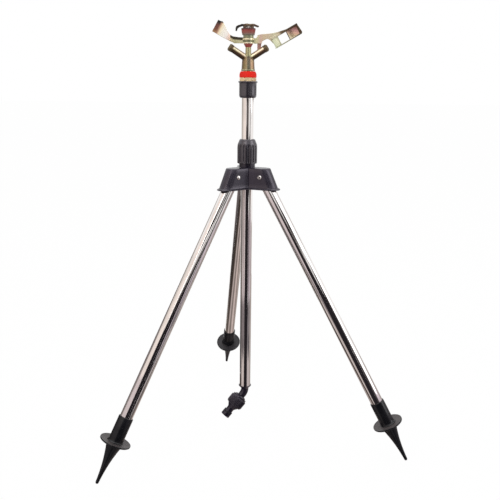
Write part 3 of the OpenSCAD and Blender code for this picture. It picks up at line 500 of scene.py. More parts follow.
def rivet_meshes():
    half = channel_half
    shaft_r = 2.0
    head_r = 3.3
    heads = bmesh.new()
    rings = bmesh.new()
    for azimuth in leg_azimuths.values():
        across = leg_frame(azimuth) @ rotated(-90, "X")
        dome = [(head_r - 0.25, half), (head_r, half + 0.3), (head_r - 0.15, half + 0.9),
                (head_r - 0.9, half + 1.6), (1.2, half + 1.95), (0, half + 2.0)]
        turned([(0, hollow_floor), (hollow_r, hollow_floor), (hollow_r, hollow_mouth),
                (shaft_r - 0.1, hollow_mouth), (shaft_r, -half - 0.9), (shaft_r, half)] + dome,
               across, steps=32, loop=False, mesh=heads)
        other = leg_frame(azimuth) @ rotated(90, "X")
        turned(eased([(shaft_r + 0.03, half), (head_r, half), (head_r - 0.1, half + 1.2),
                      (head_r - 0.9, half + 2.0), (shaft_r + 0.5, half + 2.0),
                      (shaft_r + 0.03, half + 1.4)], 0.3),
               other, steps=32, mesh=rings)
    return heads, rings


rivet_heads, rivet_rings = rivet_meshes()
pins = piece("rivet_heads", rivet_heads, rivet_steel, "stand", "rivet_steel", "pivot_rivets")
pins.data.materials.append(black_moulding)
# the hollow ends take the black moulding inside: painted shade in the recess
for face in pins.data.polygons:
    for azimuth in leg_azimuths.values():
        centre = leg_frame(azimuth).inverted() @ (face.center / MM)
        hollow = hollow_mouth < centre.y < hollow_floor + 0.1
        if hollow and hypot(centre.x, centre.z) < hollow_r + 0.01:
            face.material_index = 1
piece("rivet_rings", rivet_rings, rivet_steel, "stand", "rivet_steel", "pivot_rings")

# ---- Legs ---------------------------------------------------------------------------------------
# Each leg is a polished stainless tube. A black plug lines its top, where the rivet passes, and
# its foot is a glossy black moulding: sleeve, tread plate and a fluted spike.

polished_steel = polished("polished_steel", (0.88, 0.84, 0.82), 0.085, streak=0.004,
                          ripple=0.002, drawn=0.008)
spike_black = moulding("spike_black", (0.005, 0.005, 0.007), 0.22, 0.2, shine=0.3)
plate_grey = moulding("plate_grey", (0.066, 0.056, 0.057), 0.5, 0.35, mottle=0.2)
# a darker copy of the tread grey: painted shade for the back foot's tread
painted_shade_grey = moulding("painted_shade_grey", (0.026, 0.024, 0.028), 0.5, 0.35, mottle=0.2, shine=0.3)
tip_z = -487.4
plate_z = tip_z + 62.4
sleeve_top = plate_z + 37.8
sleeve_floor = sleeve_top - 32.0
leg_r = 9.5
leg_top = 6.3


def tube_mesh(outer_r, bottom, top, place):
    """A thin tube with rings near its ends, so that its long wall shines evenly."""
    wall = 0.8
    ring = 2.0
    return turned(eased([(outer_r - wall, bottom), (outer_r, bottom), (outer_r, bottom + ring),
                         (outer_r, top - ring), (outer_r, top), (outer_r - wall, top)], 0.25),
                  place)


def leg_plug_mesh(place):
    fit_r = 8.67
    rim_top = leg_top + 1.5
    bottom = -19.7
    hole_r = 5.0
    hole_top = -4.0
    return turned([(0, hole_top), (hole_r, hole_top), (hole_r, bottom), (fit_r, bottom),
                   (fit_r, leg_top), (leg_r, leg_top), (leg_r, rim_top - 0.5),
                   (leg_r - 0.5, rim_top), (0, rim_top)], place, loop=False)


def foot_mesh(place, turn):
    """The sleeve and spike in one turning, and the tread plate cocked a little on them."""
    tip_r = 2.4
    root_r = 13.4
    sleeve_r = 10.9
    grip_r = 9.53
    plate_r = 23.2
    plate_t = 2.4
    cocked_by = 5.7
    flutes = 6
    flute_depth = 0.09
    flutes_from, flutes_to = 0.08, 0.97

    def fluted(angle, radius, height):
        along = (height - tip_z) / (plate_z - tip_z)
        if not flutes_from < along < flutes_to:
            return radius
        fade = min(1.0, (along - flutes_from) / 0.2, (flutes_to - along) / 0.08)
        groove = max(0.0, cos(flutes * angle)) ** 2
        return radius * (1 - flute_depth * fade * groove)

    ball = [(tip_r * sin(t), tip_z - tip_r * cos(t))
            for t in (pi / 2 * i / 6 for i in range(1, 6))]
    rows = 24
    taper = []
    for row in range(rows + 1):
        t = row / rows
        flare = 0.24 * t + 0.76 * t ** 2.2
        taper.append((tip_r + (root_r - tip_r) * flare, tip_z + (plate_z - tip_z) * t))
    sleeve = [(sleeve_r + 0.5, plate_z + 1.3), (sleeve_r + 0.3, plate_z + 1.8),
              (sleeve_r, plate_z + 2.6), (sleeve_r, plate_z + 6.0), (sleeve_r, sleeve_top - 0.9),
              (sleeve_r - 0.25, sleeve_top - 0.3), (sleeve_r - 0.7, sleeve_top),
              (grip_r + 0.2, sleeve_top), (grip_r, sleeve_top - 0.3), (grip_r, sleeve_floor),
              (0, sleeve_floor)]
    mesh = turned([(0, tip_z - tip_r)] + ball + taper + sleeve, place, fluted, loop=False)
    cocked = place @ lifted(plate_z) @ rotated(turn, "Z") @ rotated(cocked_by, "Y")
    half = plate_t / 2
    plate = [(0, -half), (plate_r - 0.8, -half), (plate_r - 0.2, -half + 0.4), (plate_r, 0),
             (plate_r - 0.1, half - 0.25), (plate_r - 0.5, half), (plate_r - 1.3, half),
             (plate_r - 1.8, half - 0.35), (plate_r - 2.3, half - 0.45), (0, half - 0.45)]
    return turned(plate, cocked, loop=False, mesh=mesh)


foot_turns = {"back_leg": 90, "left_leg": 48, "right_leg": -48}
tread_from = 13.6
tread_to = 22.3
for leg, azimuth in leg_azimuths.items():
    stance = leg_frame(azimuth)
    piece(leg + "_bright_tube", tube_mesh(leg_r, sleeve_floor, leg_top, stance),
          polished_steel, leg, "polished_steel", leg + "_tube")
    piece(leg + "_top_plug", leg_plug_mesh(stance), black_moulding, leg, "black_plastic",
          leg + "_plug")
    shoe = piece(leg + "_spiked_foot", foot_mesh(stance, foot_turns[leg]), spike_black, leg,
                 "gloss_black_plastic", leg.replace("leg", "foot"), crease=50.0)
    # the back foot's tread gets the darker grey, painted shade
    shoe.data.materials.append(painted_shade_grey if leg == "back_leg" else plate_grey)
    # the plate's tread is duller than its rim and the spike
    for face in shoe.data.polygons:
        centre = stance.inverted() @ (face.center / MM)
        tread = tread_from < hypot(centre.x, centre.y) < tread_to
        if tread and centre.z > plate_z - 4.0:
            face.material_index = 1

# ---- Lock nut and collet ------------------------------------------------------------------------
# A ribbed black nut over the hub's thread. Turned down, it squeezes a slit white collet round
# the mast and holds it at any height.


def share(value, low, high):
    """How far a value lies from a low to a high limit, from 0 to 1."""
    return min(1.0, max(0.0, (value - low) / (high - low)))


def lock_nut_mesh():
    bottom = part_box("lock_nut")[0].z / MM
    height = 36.4
    nut_r = 15.1
    top_r = 11.1
    bore_r = 12.5
    mouth_r = 9.3
    ribs = 14
    rib_depth = 1.15
    rib_foot = 1.4
    rib_top = 28.7

    def ribbed(angle, radius, z):
        if radius < bore_r + 0.4 or not rib_foot < z < rib_top:
            return radius
        fade = min(1.0, (z - rib_foot) / 0.5, (rib_top - z) / 2.0)
        wave = 0.5 - 0.5 * cos(ribs * angle)
        return radius - rib_depth * fade * share(wave, 0.45, 0.7)

    outer = [(nut_r - 0.7, 0), (nut_r - 0.2, 0.2), (nut_r, 0.7), (nut_r, 1.5), (nut_r, 1.9)]
    outer += [(nut_r, z) for z in (4.0, 8.0, 12.0, 16.0, 20.0, 24.0)]
    outer += [(nut_r - 0.25, 26.7), (nut_r - 0.6, 28.7), (nut_r - 1.15, 30.6), (nut_r - 1.9, 32.0),
              (nut_r - 2.55, 33.4), (top_r + 1.25, 34.6), (top_r + 0.6, 35.4), (top_r + 0.1, 36.1),
              (top_r - 0.6, height)]
    inner = [(mouth_r + 0.4, height), (mouth_r, height - 0.4), (mouth_r, 32.0), (10.4, 31.2),
             (12.3, 21.0), (bore_r, 20.8), (bore_r, 0.4), (bore_r + 0.3, 0)]
    return turned(outer + inner, on_mast @ lifted(bottom), ribbed, steps=ribs * 20)


smooth_black = moulding("smooth_black", (0.015, 0.013, 0.019), 0.2, 0.25, mottle=0.2, shine=1.0,
                        sheen=(1.0, 0.94, 1.0))
piece("ribbed_lock_nut", lock_nut_mesh(), smooth_black, "lock_nut", "gloss_black_plastic",
      "lock_nut", crease=45.0)

white_plastic = moulding("white_plastic", (0.8, 0.77, 0.68), 0.4, 0.1, mottle=0.06)


def dress(node, finish):
    """Gives a CAD node that is shown as it is its own finish."""
    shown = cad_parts[node]
    shown.data.materials.clear()
    shown.data.materials.append(finish)


dress("clamp_collet", white_plastic)

# ---- Mast ---------------------------------------------------------------------------------------
# A polished stainless tube that slides through the hub. It carries a black adapter on top, and
# the bend for the hose is pressed and sealed into its lower end.

low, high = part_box("mast_tube")
mast_r = 9.0
mast_foot = low.z / MM
piece("bright_mast", tube_mesh(mast_r, mast_foot, high.z / MM, on_mast), polished_steel, "mast",
      "polished_steel", "mast_tube")


def adapter_mesh():
    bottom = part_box("head_adapter")[0].z / MM
    height = 24.2
    body_r = 12.95
    flange_r = 14.3
    outer = [(9.2, 0.0), (body_r - 2.6, 0.0), (body_r - 1.9, 0.25), (body_r - 1.0, 1.0),
             (body_r - 0.35, 2.0), (body_r - 0.05, 3.2), (body_r, 4.5), (body_r, 12.0),
             (body_r, 20.8), (body_r + 0.1, 21.4), (body_r + 0.6, 21.9), (flange_r - 0.3, 22.2),
             (flange_r, 22.6), (flange_r, 23.6), (flange_r - 0.15, 23.95), (flange_r - 0.5, height)]
    washer_r = 11.78
    thread_r = 10.48
    socket_r = mast_r + 0.03
    inner = [(12.0, height), (washer_r, height - 0.2), (washer_r, height - 1.0),
             (thread_r, height - 1.0), (thread_r, 11.9), (7.6, 11.9), (7.6, 8.6),
             (socket_r, 8.6), (socket_r, 0.2)]
    return turned(outer + inner, on_mast @ lifted(bottom))


piece("mast_adapter", adapter_mesh(), smooth_black, "mast", "black_plastic", "head_adapter")
dress("adapter_washer", white_plastic)
black_rubber = moulding("black_rubber", (0.012, 0.012, 0.012), 0.7, 0.3)
dress("mast_seal", black_rubber)

# ---- Hose connection ----------------------------------------------------------------------------
# A black bend under the mast, a finely ribbed swivel nut and the stepped nipple that a hose
# coupling snaps over. All are plastic mouldings, with a rubber ring in the nipple's groove.

bend_z = mast_foot - 10.0
hose_azimuth = 197
hose_bend = 135
hose_axis = on_mast @ lifted(bend_z) @ rotated(hose_azimuth, "Z") @ rotated(hose_bend, "Y")


def skinned(mesh, rings):
    """Closes a row of rings of points into a solid bar."""
    for ring, other in zip(rings, rings[1:]):
        for i in range(len(ring)):
            j = (i + 1) % len(ring)
            mesh.faces.new([ring[i], ring[j], other[j], other[i]])
    mesh.faces.new(rings[0])
    mesh.faces.new(rings[-1])
    return mesh


def elbow_mesh():
    """The cup and spigot are turned; the neck is a round bar bent down to the swivel's flange."""
    neck_r = 6.0
    bore_r = 4.0
    cup_r = 10.2
    spigot_r = 8.17
    up = [(neck_r, 4.6), (neck_r + 0.1, 6.2), (neck_r + 0.8, 7.6), (neck_r + 2.2, 9.0),
          (cup_r - 0.5, 10.6), (cup_r, 11.4), (cup_r - 0.1, 11.9), (cup_r - 0.5, 12.0),
          (9.1, 12.0), (9.03, 10.0), (spigot_r, 10.0), (spigot_r, 29.0), (spigot_r - 0.8, 30.0),
          (bore_r, 30.0), (bore_r, 4.6)]
    mesh = turned(up, on_mast @ lifted(bend_z))
    flange = [(neck_r, 3.6), (neck_r, 12.8), (9.1, 12.8), (9.4, 13.1), (9.4, 14.7), (9.1, 15.0),
              (bore_r, 15.0), (bore_r, 3.6)]
    turned(flange, hose_axis, mesh=mesh)
    reach = 6.4
    neck_skin = 1.02
    start = on_mast @ Vector((0, 0, bend_z + reach))
    knee = on_mast @ Vector((0, 0, bend_z))
    end = hose_axis @ Vector((0, 0, reach))
    side = (start - knee).cross(end - knee).normalized()
    rows = 10
    steps = 48
    rings = []
    for row in range(rows + 1):
        t = row / rows
        point = start.lerp(knee, t).lerp(knee.lerp(end, t), t)
        ahead = (knee.lerp(end, t) - start.lerp(knee, t)).normalized()
        out = side.cross(ahead)
        rings.append([mesh.verts.new(point + (side * cos(tau * i / steps)
                                              + out * sin(tau * i / steps)) * neck_r * neck_skin)
                      for i in range(steps)])
    return skinned(mesh, rings)


piece("hose_bend", elbow_mesh(), black_moulding, "mast", "black_plastic", "elbow")


def union_nut_mesh():
    start = 9.4
    length = 20.0
    nut_r = 13.8
    bore_r = 12.13
    ribs = 36
    rib_depth = 0.6

    def ribbed(angle, radius, along):
        if radius < bore_r + 0.47 or not 5.0 < along < length - 1.0:
            return radius
        wave = 0.5 - 0.5 * cos(ribs * angle)
        return radius - rib_depth * share(wave, 0.3, 0.7)

    outer = [(6.3, 0.0), (8.0, 0.0), (8.5, 0.2), (9.0, 0.8), (nut_r - 1.6, 4.5),
             (nut_r - 0.9, 5.1), (nut_r - 0.1, 5.6), (nut_r, 6.2), (nut_r, 12.0), (nut_r, 17.2),
             (nut_r - 0.1, 17.8), (nut_r - 0.9, 18.3), (nut_r - 0.9, 18.8),
             (nut_r - 1.3, length), (12.4, length)]
    inner = [(bore_r, length - 0.3), (bore_r, 2.5), (6.05, 2.5), (6.05, 0.3)]
    return turned(outer + inner, hose_axis @ lifted(start), ribbed, steps=ribs * 10)


piece("swivel_nut", union_nut_mesh(), black_moulding, "swivel", "black_plastic", "union_nut",
      crease=50.0)


def nipple_mesh():
    """The nipple's threaded root, cone, neck and ringed head, with its water way."""
    head = 40.7
    head_r = 7.6
    neck_r = 6.0
    end = 51.5
    profile = [(4.0, 16.6), (12.1, 16.6), (12.1, 29.2), (11.9, 29.4), (10.3, 29.45),
               (9.9, 29.8), (9.6, 30.8), (9.1, 31.4), (7.0, 34.0), (6.3, 35.3), (neck_r, 36.4),
               (neck_r, head - 0.3), (head_r - 0.6, head), (head_r - 0.1, head + 0.35),
               (head_r, head + 0.8), (head_r, head + 2.3), (head_r - 1.6, head + 2.4),
               (head_r - 1.6, head + 4.4), (head_r, head + 4.5), (head_r, head + 6.6),
               (head_r - 0.35, head + 6.75), (head_r - 0.35, head + 7.25), (head_r, head + 7.4),
               (head_r, end - 1.2), (head_r - 0.25, end - 0.6), (head_r - 0.9, end - 0.1),
               (head_r - 1.4, end), (4.4, end), (4.0, end - 0.4)]
    return turned(profile, hose_axis)


piece("hose_coupling_nipple", nipple_mesh(), black_moulding, "swivel", "black_plastic",
      "hose_nipple")
dress("union_washer", black_rubber)
dress("nipple_o_ring", black_rubber)

# ---- Head bearing -------------------------------------------------------------------------------
# A brass sleeve screwed into the adapter by its hexagon. The head's hollow stem turns in it on
# thin washers, under a thrust spring, and a bright red ring keeps sand out of the gap.

brass = polished("bearing_brass", (0.96, 0.74, 0.44), 0.2, 1.0, metallic=0.7)
spring_wire = polished("spring_wire", (0.72, 0.72, 0.72), 0.22, 1.0)
bright_red = moulding("bright_red", (0.74, 0.018, 0.009), 0.55, 0.15, mottle=0.06, shine=0.15)
hex_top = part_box("bearing_sleeve")[1].z / MM


def hexagon_mesh():
    """The hexagon with its corners turned off at both ends, over the sleeve's threaded barrel."""
    flat = 10.8
    corner = flat + 1.72
    thread_r = 10.45
    bore_r = 6.35
    turn = radians(-2)
    base = hex_top - 5.2
    foot = base - 9.2

    def six_sided(angle, radius, height):
        if radius < thread_r + 0.2:
            return radius
        off = (angle - turn) % (tau / 6) - tau / 12
        return min(radius, flat / cos(off))

    profile = [(bore_r, foot), (thread_r - 0.6, foot), (thread_r, foot + 0.6), (thread_r, base),
               (flat + 0.75, base), (corner, base + 0.7), (corner, hex_top - 0.9),
               (flat + 0.6, hex_top), (bore_r, hex_top)]
    return turned(profile, on_mast, six_sided, steps=360)


piece("sleeve_hexagon", hexagon_mesh(), brass, "mast", "brass", "bearing_sleeve", crease=24.0)


def ring_mesh():
    outer_r = 12.7
    top_r = 11.2
    bore_r = 9.5
    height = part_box("dust_ring")[1].z / MM - hex_top
    outer = [(outer_r - 0.7, 0), (outer_r - 0.2, 0.25), (outer_r, 0.8), (outer_r, 3.0),
             (outer_r - 0.05, 4.4), (outer_r - 0.3, 5.6), (outer_r - 0.75, 6.8),
             (top_r + 0.1, height - 0.8), (top_r - 0.1, height - 0.25), (top_r - 0.5, height)]
    inner = [(bore_r, height), (bore_r, 0)]
    return turned(outer + inner, on_mast @ lifted(hex_top))


piece("dust_ring_moulding", ring_mesh(), bright_red, "mast", "red_plastic", "dust_ring")
dress("bearing_stem", brass)
dress("stem_washer", white_plastic)
dress("stem_seal", black_rubber)


def coil_mesh(mean_r, wire, turns, bottom, top):
    """A round wire wound between two heights."""
    mesh = bmesh.new()
    steps_in_turn = 36
    steps = int(steps_in_turn * turns)
    around = 10
    rise = (top - bottom - wire) / steps
    rings = []
    for step in range(steps + 1):
        angle = tau * turns * step / steps
        centre = Vector((mean_r * cos(angle), mean_r * sin(angle),
                         bottom + wire / 2 + rise * step))
        out = Vector((cos(angle), sin(angle), 0))
        rings.append([mesh.verts.new(on_mast @ (centre + (out * cos(tau * i / around)
                      + Vector((0, 0, sin(tau * i / around)))) * wire / 2))
                      for i in range(around)])
    return skinned(mesh, rings)


low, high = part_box("thrust_spring")
piece("thrust_coil", coil_mesh(7.85, 1.3, 3.5, low.z / MM, high.z / MM), spring_wire, "mast",
      "spring_steel", "thrust_spring")

# ---- Head body ----------------------------------------------------------------------------------
# A zinc casting with thin yellow plating that shimmers green and pink: a tapered body with a
# raised rib, two slanting barrels and the post for the arm. A nozzle is screwed into each barrel.


def plated(name, film, tints, gloss, scale, strength, metallic):
    """A thin coat: its given colour, or the one painted on the piece with its painted highlights
    and shade, drifts through the tints.
    """
    coat = bpy.data.materials.new(name)
    nodes = Nodes(coat)
    place = nodes.add("TexCoord", output="Object")
    wide = nodes.add("TexNoise", inputs={"Vector": place, "Scale": scale, "Detail": 2.0,
                                         "Distortion": 0.6})
    fine = nodes.add("TexNoise", inputs={"Vector": place, "Scale": 900.0, "Detail": 3.0})
    stops = [(0.3 + 0.42 * i / (len(tints) - 1), tint) for i, tint in enumerate(tints)]
    drift = nodes.add("ValToRGB", {"stops": stops}, {"Fac": wide})
    under = (*film, 1.0) if film else nodes.add("Attribute", {"attribute_name": "film"})
    tone = nodes.add("Mix", {"data_type": "RGBA", "blend_type": "MULTIPLY"},
                     {0: strength, 6: under, 7: drift}, output=2)
    rough = fine * 0.16 + wide * 0.08 + (gloss - 0.12)
    bump = nodes.add("Bump", inputs={"Height": fine, "Strength": 0.25, "Distance": 0.0002})
    coated(nodes, tone, rough, bump, {"Metallic": metallic})
    return coat


shimmer = [(0.78, 0.9, 0.74), (1.0, 0.98, 0.86), (1.0, 0.84, 0.8), (0.86, 0.92, 0.8)]
body_plating = plated("body_plating", None, shimmer, 0.32, 60.0, strength=0.8, metallic=0.7)
nozzle_plating = plated("nozzle_plating", (0.13, 0.095, 0.055), shimmer, 0.34, 90.0,
                        strength=0.7, metallic=0.7)


def between(value, *stops):
    """The colour at a value, from stops that each give a place and its red, green and blue."""
    for (low, *first), (high, *second) in zip(stops, stops[1:]):
        if value <= high:
            return Vector(first).lerp(Vector(second), share(value, low, high))
    return Vector(stops[-1][1:])


def slanted(x, z, slope):
    """How far a point lies along a slope from its foot, and how far over it."""
    return (x * cos(slope) + z * sin(slope), z * cos(slope) - x * sin(slope))


def painted(made, place, rule):
    """Gives each point of a piece its colour, painted highlights and shade included, by a rule in
    the piece's own axes.
    """
    inward = place.inverted()
    film = made.data.color_attributes.new("film", "FLOAT_COLOR", "POINT")
    shades = []
    for vertex in made.data.vertices:
        shades.extend((*rule(inward @ (vertex.co / MM)), 1.0))
    film.data.foreach_set("color", shades)


def cast(name, node, finish, body, voxel, passes):
    """A casting: the node's solid with its edges softened as a mould leaves them."""
    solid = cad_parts[node]
    made = bpy.data.objects.new(name, solid.data.copy())
    scene.collection.objects.link(made)
    made.data.materials.clear()
    skin = made.modifiers.new("skin", "REMESH")
    skin.mode = "VOXEL"
    skin.voxel_size = voxel * MM
    soft = made.modifiers.new("soft", "SMOOTH")
    soft.factor = 0.5
    soft.iterations = passes
    bpy.context.view_layer.update()
    shaped = bpy.data.meshes.new_from_object(made.evaluated_get(
        bpy.context.evaluated_depsgraph_get()))
    made.modifiers.clear()
    made.data = shaped
    shaped.materials.clear()
    shaped.materials.append(finish)
    shaped.shade_smooth()
    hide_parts(node)
    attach(made, body)
    return made


body_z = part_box("head_body")[0].z / MM
head_turn = -4
turned_head = on_mast @ rotated(head_turn, "Z")
on_head = turned_head @ lifted(body_z)
barrel_z = 15.9
barrel_rise = 32.5


def body_tint_and_painted_light(point):
    """Brown and olive on the body and green-grey up the post; pale along the tops of the barrels as
    a painted highlight, with painted shade under them.
    """
    post_foot, post_r = 21.0, 4.6
    collar_top = 2.4
    joint_from, joint_to = 4.5, 7.0
    brown = between(
        point.x, (-9.0, 0.12, 0.075, 0.04), (-6.0, 0.24, 0.18, 0.085), (-3.0, 0.34, 0.25, 0.16),
        (-1.6, 0.22, 0.21, 0.15), (1.6, 0.17, 0.155, 0.13), (3.0, 0.3, 0.2, 0.14),
        (6.5, 0.33, 0.22, 0.13), (9.0, 0.1, 0.055, 0.03))
    out, over = slanted(abs(point.x), point.z - barrel_z, radians(barrel_rise))
    # the barrels' pale tops are a painted highlight and their dark undersides painted shade
    barrel = between(
        over, (-4.0, 0.05, 0.03, 0.018), (-1.0, 0.11, 0.065, 0.04), (0.6, 0.34, 0.25, 0.16),
        (1.5, 0.9, 0.8, 0.58), (2.8, 1.0, 0.95, 0.8), (3.6, 0.62, 0.5, 0.34),
        (4.6, 0.2, 0.14, 0.08))
    if point.z > post_foot and abs(point.x) < post_r:
        return Vector((0.4, 0.41, 0.24))
    if out > joint_to:
        return barrel
    if point.z < collar_top:
        return Vector((0.34, 0.33, 0.22))
    return brown.lerp(barrel, share(out, joint_from, joint_to))


casting = cast("head_casting", "head_body", body_plating, "head", 0.3, 4)
painted(casting, on_head, body_tint_and_painted_light)


def nozzle_mesh(side):
    """The nozzle's flanged mouth piece, waisted behind its rim, with the jet's hole."""
    barrel_end = 27.4
    place = (on_head @ lifted(barrel_z) @ rotated(side, "Z") @ rotated(90 - barrel_rise, "Y")
             @ lifted(barrel_end))
    outer_r = 5.4
    spigot_r = 3.4
    profile = [(2.3, -5.4), (spigot_r, -5.4), (spigot_r, -0.05), (outer_r - 0.5, 0),
               (outer_r, 0.4), (outer_r, 1.5), (outer_r - 0.25, 1.8), (outer_r - 0.25, 2.3),
               (outer_r, 2.6), (outer_r, 4.6), (outer_r - 0.3, 5.0), (outer_r - 1.2, 6.2),
               (outer_r - 1.5, 6.4), (2.6, 6.4), (1.7, 5.6), (1.6, 4.8), (1.6, -1.0)]
    return turned(profile, place, steps=72)


for name, side in (("right_nozzle", 0), ("left_nozzle", 180)):
    piece(name + "_tip", nozzle_mesh(side), nozzle_plating, "head", "plated_zinc", name)
dress("pivot_pin", polished_steel)

dark_red = moulding("dark_red", (0.3, 0.05, 0.038), 0.5, 0.25, mottle=0.2)


def cone_washer_mesh():
    low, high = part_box("cone_washer")
    bottom = low.z / MM
    top = high.z / MM
    profile = [(2.03, bottom), (3.9, bottom), (4.2, bottom + 0.3), (6.2, top - 1.3),
               (6.55, top - 0.9), (6.6, top - 0.4), (6.3, top), (2.03, top)]
    return turned(profile, on_mast, steps=72)


piece("red_cone_washer", cone_washer_mesh(), dark_red, "head", "dark_red_plastic", "cone_washer")

# ---- Impact arm ---------------------------------------------------------------------------------
# One cast and plated arm that swings on the pin: a grooved hub, a counterweight plate with a
# folded rim on one side, and on the other a lug and the frame whose vane and spoon catch the jet.

arm_hub_height = 11.9
arm_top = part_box("spring_cup")[0].z / MM
on_arm = turned_head @ lifted(arm_top - arm_hub_height)
drive_x = 32.5
drive_z = 8.0
drive_slope = radians(30)


def weight_tint_and_shade(point):
    """Painted shade on the folded rim, brown to nearly black, and near the fold and at the tip;
    then yellow, near white and pink towards the hub.
    """
    lean = radians(29)
    rim = 4.75
    rim_x, rim_z = -52.4, 16.4
    fold_x = rim_x + rim * cos(lean)
    fold_z = rim_z - rim * sin(lean)
    inside, upward = slanted(point.x - fold_x, point.z - fold_z, -lean)
    # the folded rim is painted shade, darkening to nearly black upwards
    if inside < 0.3:
        return between(
            upward, (1.0, 0.3, 0.17, 0.08), (5.0, 0.17, 0.06, 0.035), (12.0, 0.12, 0.04, 0.03),
            (15.5, 0.012, 0.008, 0.006))
    plate = between(
        inside, (0.3, 0.26, 0.13, 0.08), (2.4, 0.62, 0.4, 0.28), (4.0, 0.95, 0.83, 0.58),
        (8.0, 1.0, 0.97, 0.84), (15.0, 1.0, 0.97, 0.92), (20.0, 0.92, 0.7, 0.6),
        (24.0, 0.72, 0.6, 0.38))
    # the top of the plate darkens to nearly black: painted shade
    tip_shade_from = 16.0 + inside * 0.25
    return plate.lerp(Vector((0.03, 0.02, 0.015)), share(upward, tip_shade_from, tip_shade_from + 1.5))


def paddle_tint_and_shade(point):
    """The drive frame: green on the vane, brown on the top rail, yellow to purple on the spoon,
    darkening with painted shade towards its closed end.
    """
    top_rail, bottom_rail = -2.9, -14.9
    window_end, spoon_from, spoon_to = 22.0, 25.6, 40.2
    along, across = slanted(point.x - drive_x, point.z - drive_z, drive_slope)
    if across > top_rail:
        return between(
            along, (8.0, 0.64, 0.58, 0.42), (13.0, 0.6, 0.5, 0.36), (17.0, 0.13, 0.085, 0.045),
            (40.0, 0.06, 0.035, 0.02))
    if across < bottom_rail:
        return between(
            along, (0.0, 0.5, 0.52, 0.34), (20.0, 0.4, 0.38, 0.26), (40.0, 0.12, 0.1, 0.07))
    # past the spoon's end the dark is painted shade
    if along > spoon_to:
        return Vector((0.1, 0.06, 0.035))
    if along >= spoon_from:
        corner_along, corner_across = 24.6, -16.6
        from_corner = (along - corner_along) * 0.72 + (across - corner_across) * 0.85
        return between(
            from_corner, (2.0, 1.0, 0.97, 0.74), (7.5, 1.0, 0.84, 0.55), (12.0, 0.9, 0.6, 0.46),
            (17.0, 0.62, 0.34, 0.34), (21.5, 0.26, 0.12, 0.09), (25.0, 0.08, 0.04, 0.025))
    if along > window_end:
        return Vector((0.1, 0.065, 0.04))
    return between(along, (0.0, 0.56, 0.57, 0.4), (7.0, 0.7, 0.69, 0.5), (10.2, 0.34, 0.33, 0.2))


def arm_tint_and_painted_light(point):
    """The colour over the whole arm: plating tints of brown, green, pink and yellow, with painted
    highlights and painted shadow laid in.
    """
    hub_r = 8.4
    weight_x, step_x, neck_x = -26.5, -22.0, -7.6
    lug_x, lug_half, web_half = 16.6, 3.2, 2.2
    vane_x, vane_half, spoon_x = 29.5, 2.0, 39.2
    # on the hub the cream bands are painted highlights, the near-black lines painted shadow at the
    # groove's ends
    if hypot(point.x, point.y) < hub_r:
        return between(
            point.z, (1.2, 0.9, 0.84, 0.62), (1.9, 0.05, 0.045, 0.025), (2.6, 0.22, 0.23, 0.13),
            (4.2, 0.22, 0.23, 0.13), (4.9, 0.3, 0.28, 0.18), (5.4, 0.88, 0.8, 0.56),
            (7.0, 0.8, 0.74, 0.5), (7.9, 0.1, 0.1, 0.055), (8.8, 0.24, 0.24, 0.15),
            (11.9, 0.18, 0.19, 0.12))
    if point.x < weight_x:
        return weight_tint_and_shade(point)
    if point.x < 0:
        under = between(
            point.x, (-26.5, 0.72, 0.6, 0.38), (-20.0, 0.5, 0.47, 0.27), (-9.0, 0.66, 0.62, 0.4))
        # above a line rising away from the hub the arm turns dark: a painted shadow under the cup
        shadow_from = 4.1 + 0.07 * max(0.0, neck_x - point.x) + 0.5 * max(0.0, step_x - point.x)
        return under.lerp(Vector((0.045, 0.035, 0.018)), share(point.z, shadow_from, shadow_from + 0.8))
    if abs(point.x - lug_x) < lug_half and point.y > web_half:
        return Vector((0.55, 0.31, 0.26))
    vane = (point.x > vane_x and abs(point.y) > vane_half
            and point.z < drive_z + (point.x - drive_x) * tan(drive_slope))
    if vane or point.x > spoon_x:
        return paddle_tint_and_shade(point)
    return between(
        point.x, (8.0, 0.5, 0.48, 0.28), (13.0, 0.66, 0.58, 0.36), (17.5, 0.66, 0.45, 0.38),
        (22.0, 0.66, 0.52, 0.36), (30.0, 0.66, 0.55, 0.4), (38.0, 0.66, 0.62, 0.44))


arm_plating = plated("arm_plating", None, shimmer, 0.24, 34.0, strength=0.25, metallic=0.5)
arm = cast("swinging_arm", "impact_arm", arm_plating, "arm", 0.28, 2)
painted(arm, on_arm, arm_tint_and_painted_light)
dress("arm_bush", white_plastic)

# ---- Arm spring ---------------------------------------------------------------------------------
# The coiled spring that brings the arm back stands in a dark red cup on the arm's hub. A star
# of plated sheet on the pin sets its tension.


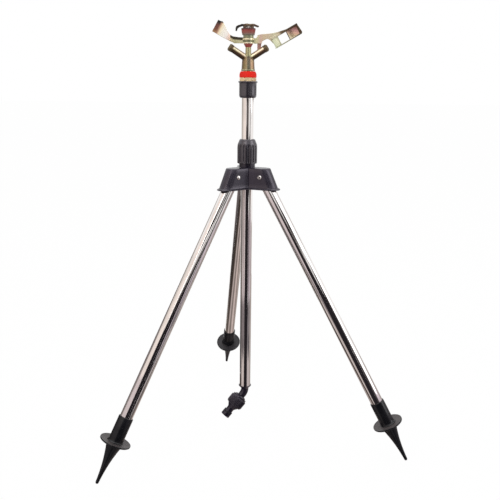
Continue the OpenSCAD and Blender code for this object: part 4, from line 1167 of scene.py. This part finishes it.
def cup_mesh():
    foot_r = 9.3
    rim_r = 10.5
    wall = 1.4
    height = 9.4
    hole_r = 3.8
    outer = [(hole_r, 0), (foot_r - 0.5, 0), (foot_r - 0.1, 0.2), (foot_r, 0.6), (foot_r, 1.2),
             (foot_r - 0.25, 1.5), (foot_r - 0.2, 1.9), (foot_r + 0.2, 2.3), (foot_r + 0.8, 5.8),
             (rim_r - 0.1, 7.7), (rim_r, 8.2), (rim_r, 8.9), (rim_r - 0.2, 9.25),
             (rim_r - 0.5, height), (rim_r - wall + 0.2, height)]
    inner = [(rim_r - wall, height - 0.2), (foot_r - wall, 2.0), (foot_r - wall - 0.4, 1.6),
             (hole_r, 1.6)]
    return turned(outer + inner, on_mast @ lifted(arm_top))


def cup_tint_and_shade(point):
    """Dark red, nearly black at the mouth with painted shade, and greyer round the foot."""
    return between(
        point.z, (1.0, 0.2, 0.15, 0.12), (2.6, 0.3, 0.1, 0.08), (4.0, 0.34, 0.055, 0.04),
        (6.6, 0.26, 0.035, 0.03), (8.2, 0.08, 0.02, 0.015))


cup_red = plated("cup_red", None, [(0.85, 0.85, 0.85), (1.0, 1.0, 1.0)], 0.5, 90.0,
                 strength=0.6, metallic=0.0)
cup = piece("red_spring_cup", cup_mesh(), cup_red, "arm", "dark_red_plastic", "spring_cup")
painted(cup, on_mast @ lifted(arm_top), cup_tint_and_shade)
low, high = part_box("arm_spring")
piece("arm_coil", coil_mesh(6.6, 1.2, 3.0, low.z / MM, high.z / MM), spring_wire, "arm",
      "spring_steel", "arm_spring")


def cap_tint_and_painted_light(point):
    """Nearly black on the bars and tabs; the sleeve round the pin is painted bright, painted light
    where it sits in the cap's shade.
    """
    sleeve_r, plate_foot = 4.2, 12.6
    hook_x = -9.0
    # the sleeve's near white is painted light
    if hypot(point.x, point.y) < sleeve_r and point.z < plate_foot:
        return Vector((1.0, 0.98, 0.94))
    if point.x < hook_x:
        return Vector((0.02, 0.014, 0.01))
    return between(
        point.x, (-9.0, 0.05, 0.03, 0.02), (-4.0, 0.13, 0.085, 0.05), (2.0, 0.26, 0.19, 0.13),
        (7.0, 0.1, 0.055, 0.035), (15.0, 0.07, 0.04, 0.03))


cap_plating = plated("cap_plating", None, shimmer, 0.3, 80.0, strength=0.5, metallic=0.4)
adjuster = cast("star_adjuster", "spring_adjuster", cap_plating, "head", 0.25, 2)
painted(adjuster, turned_head @ lifted(arm_top), cap_tint_and_painted_light)
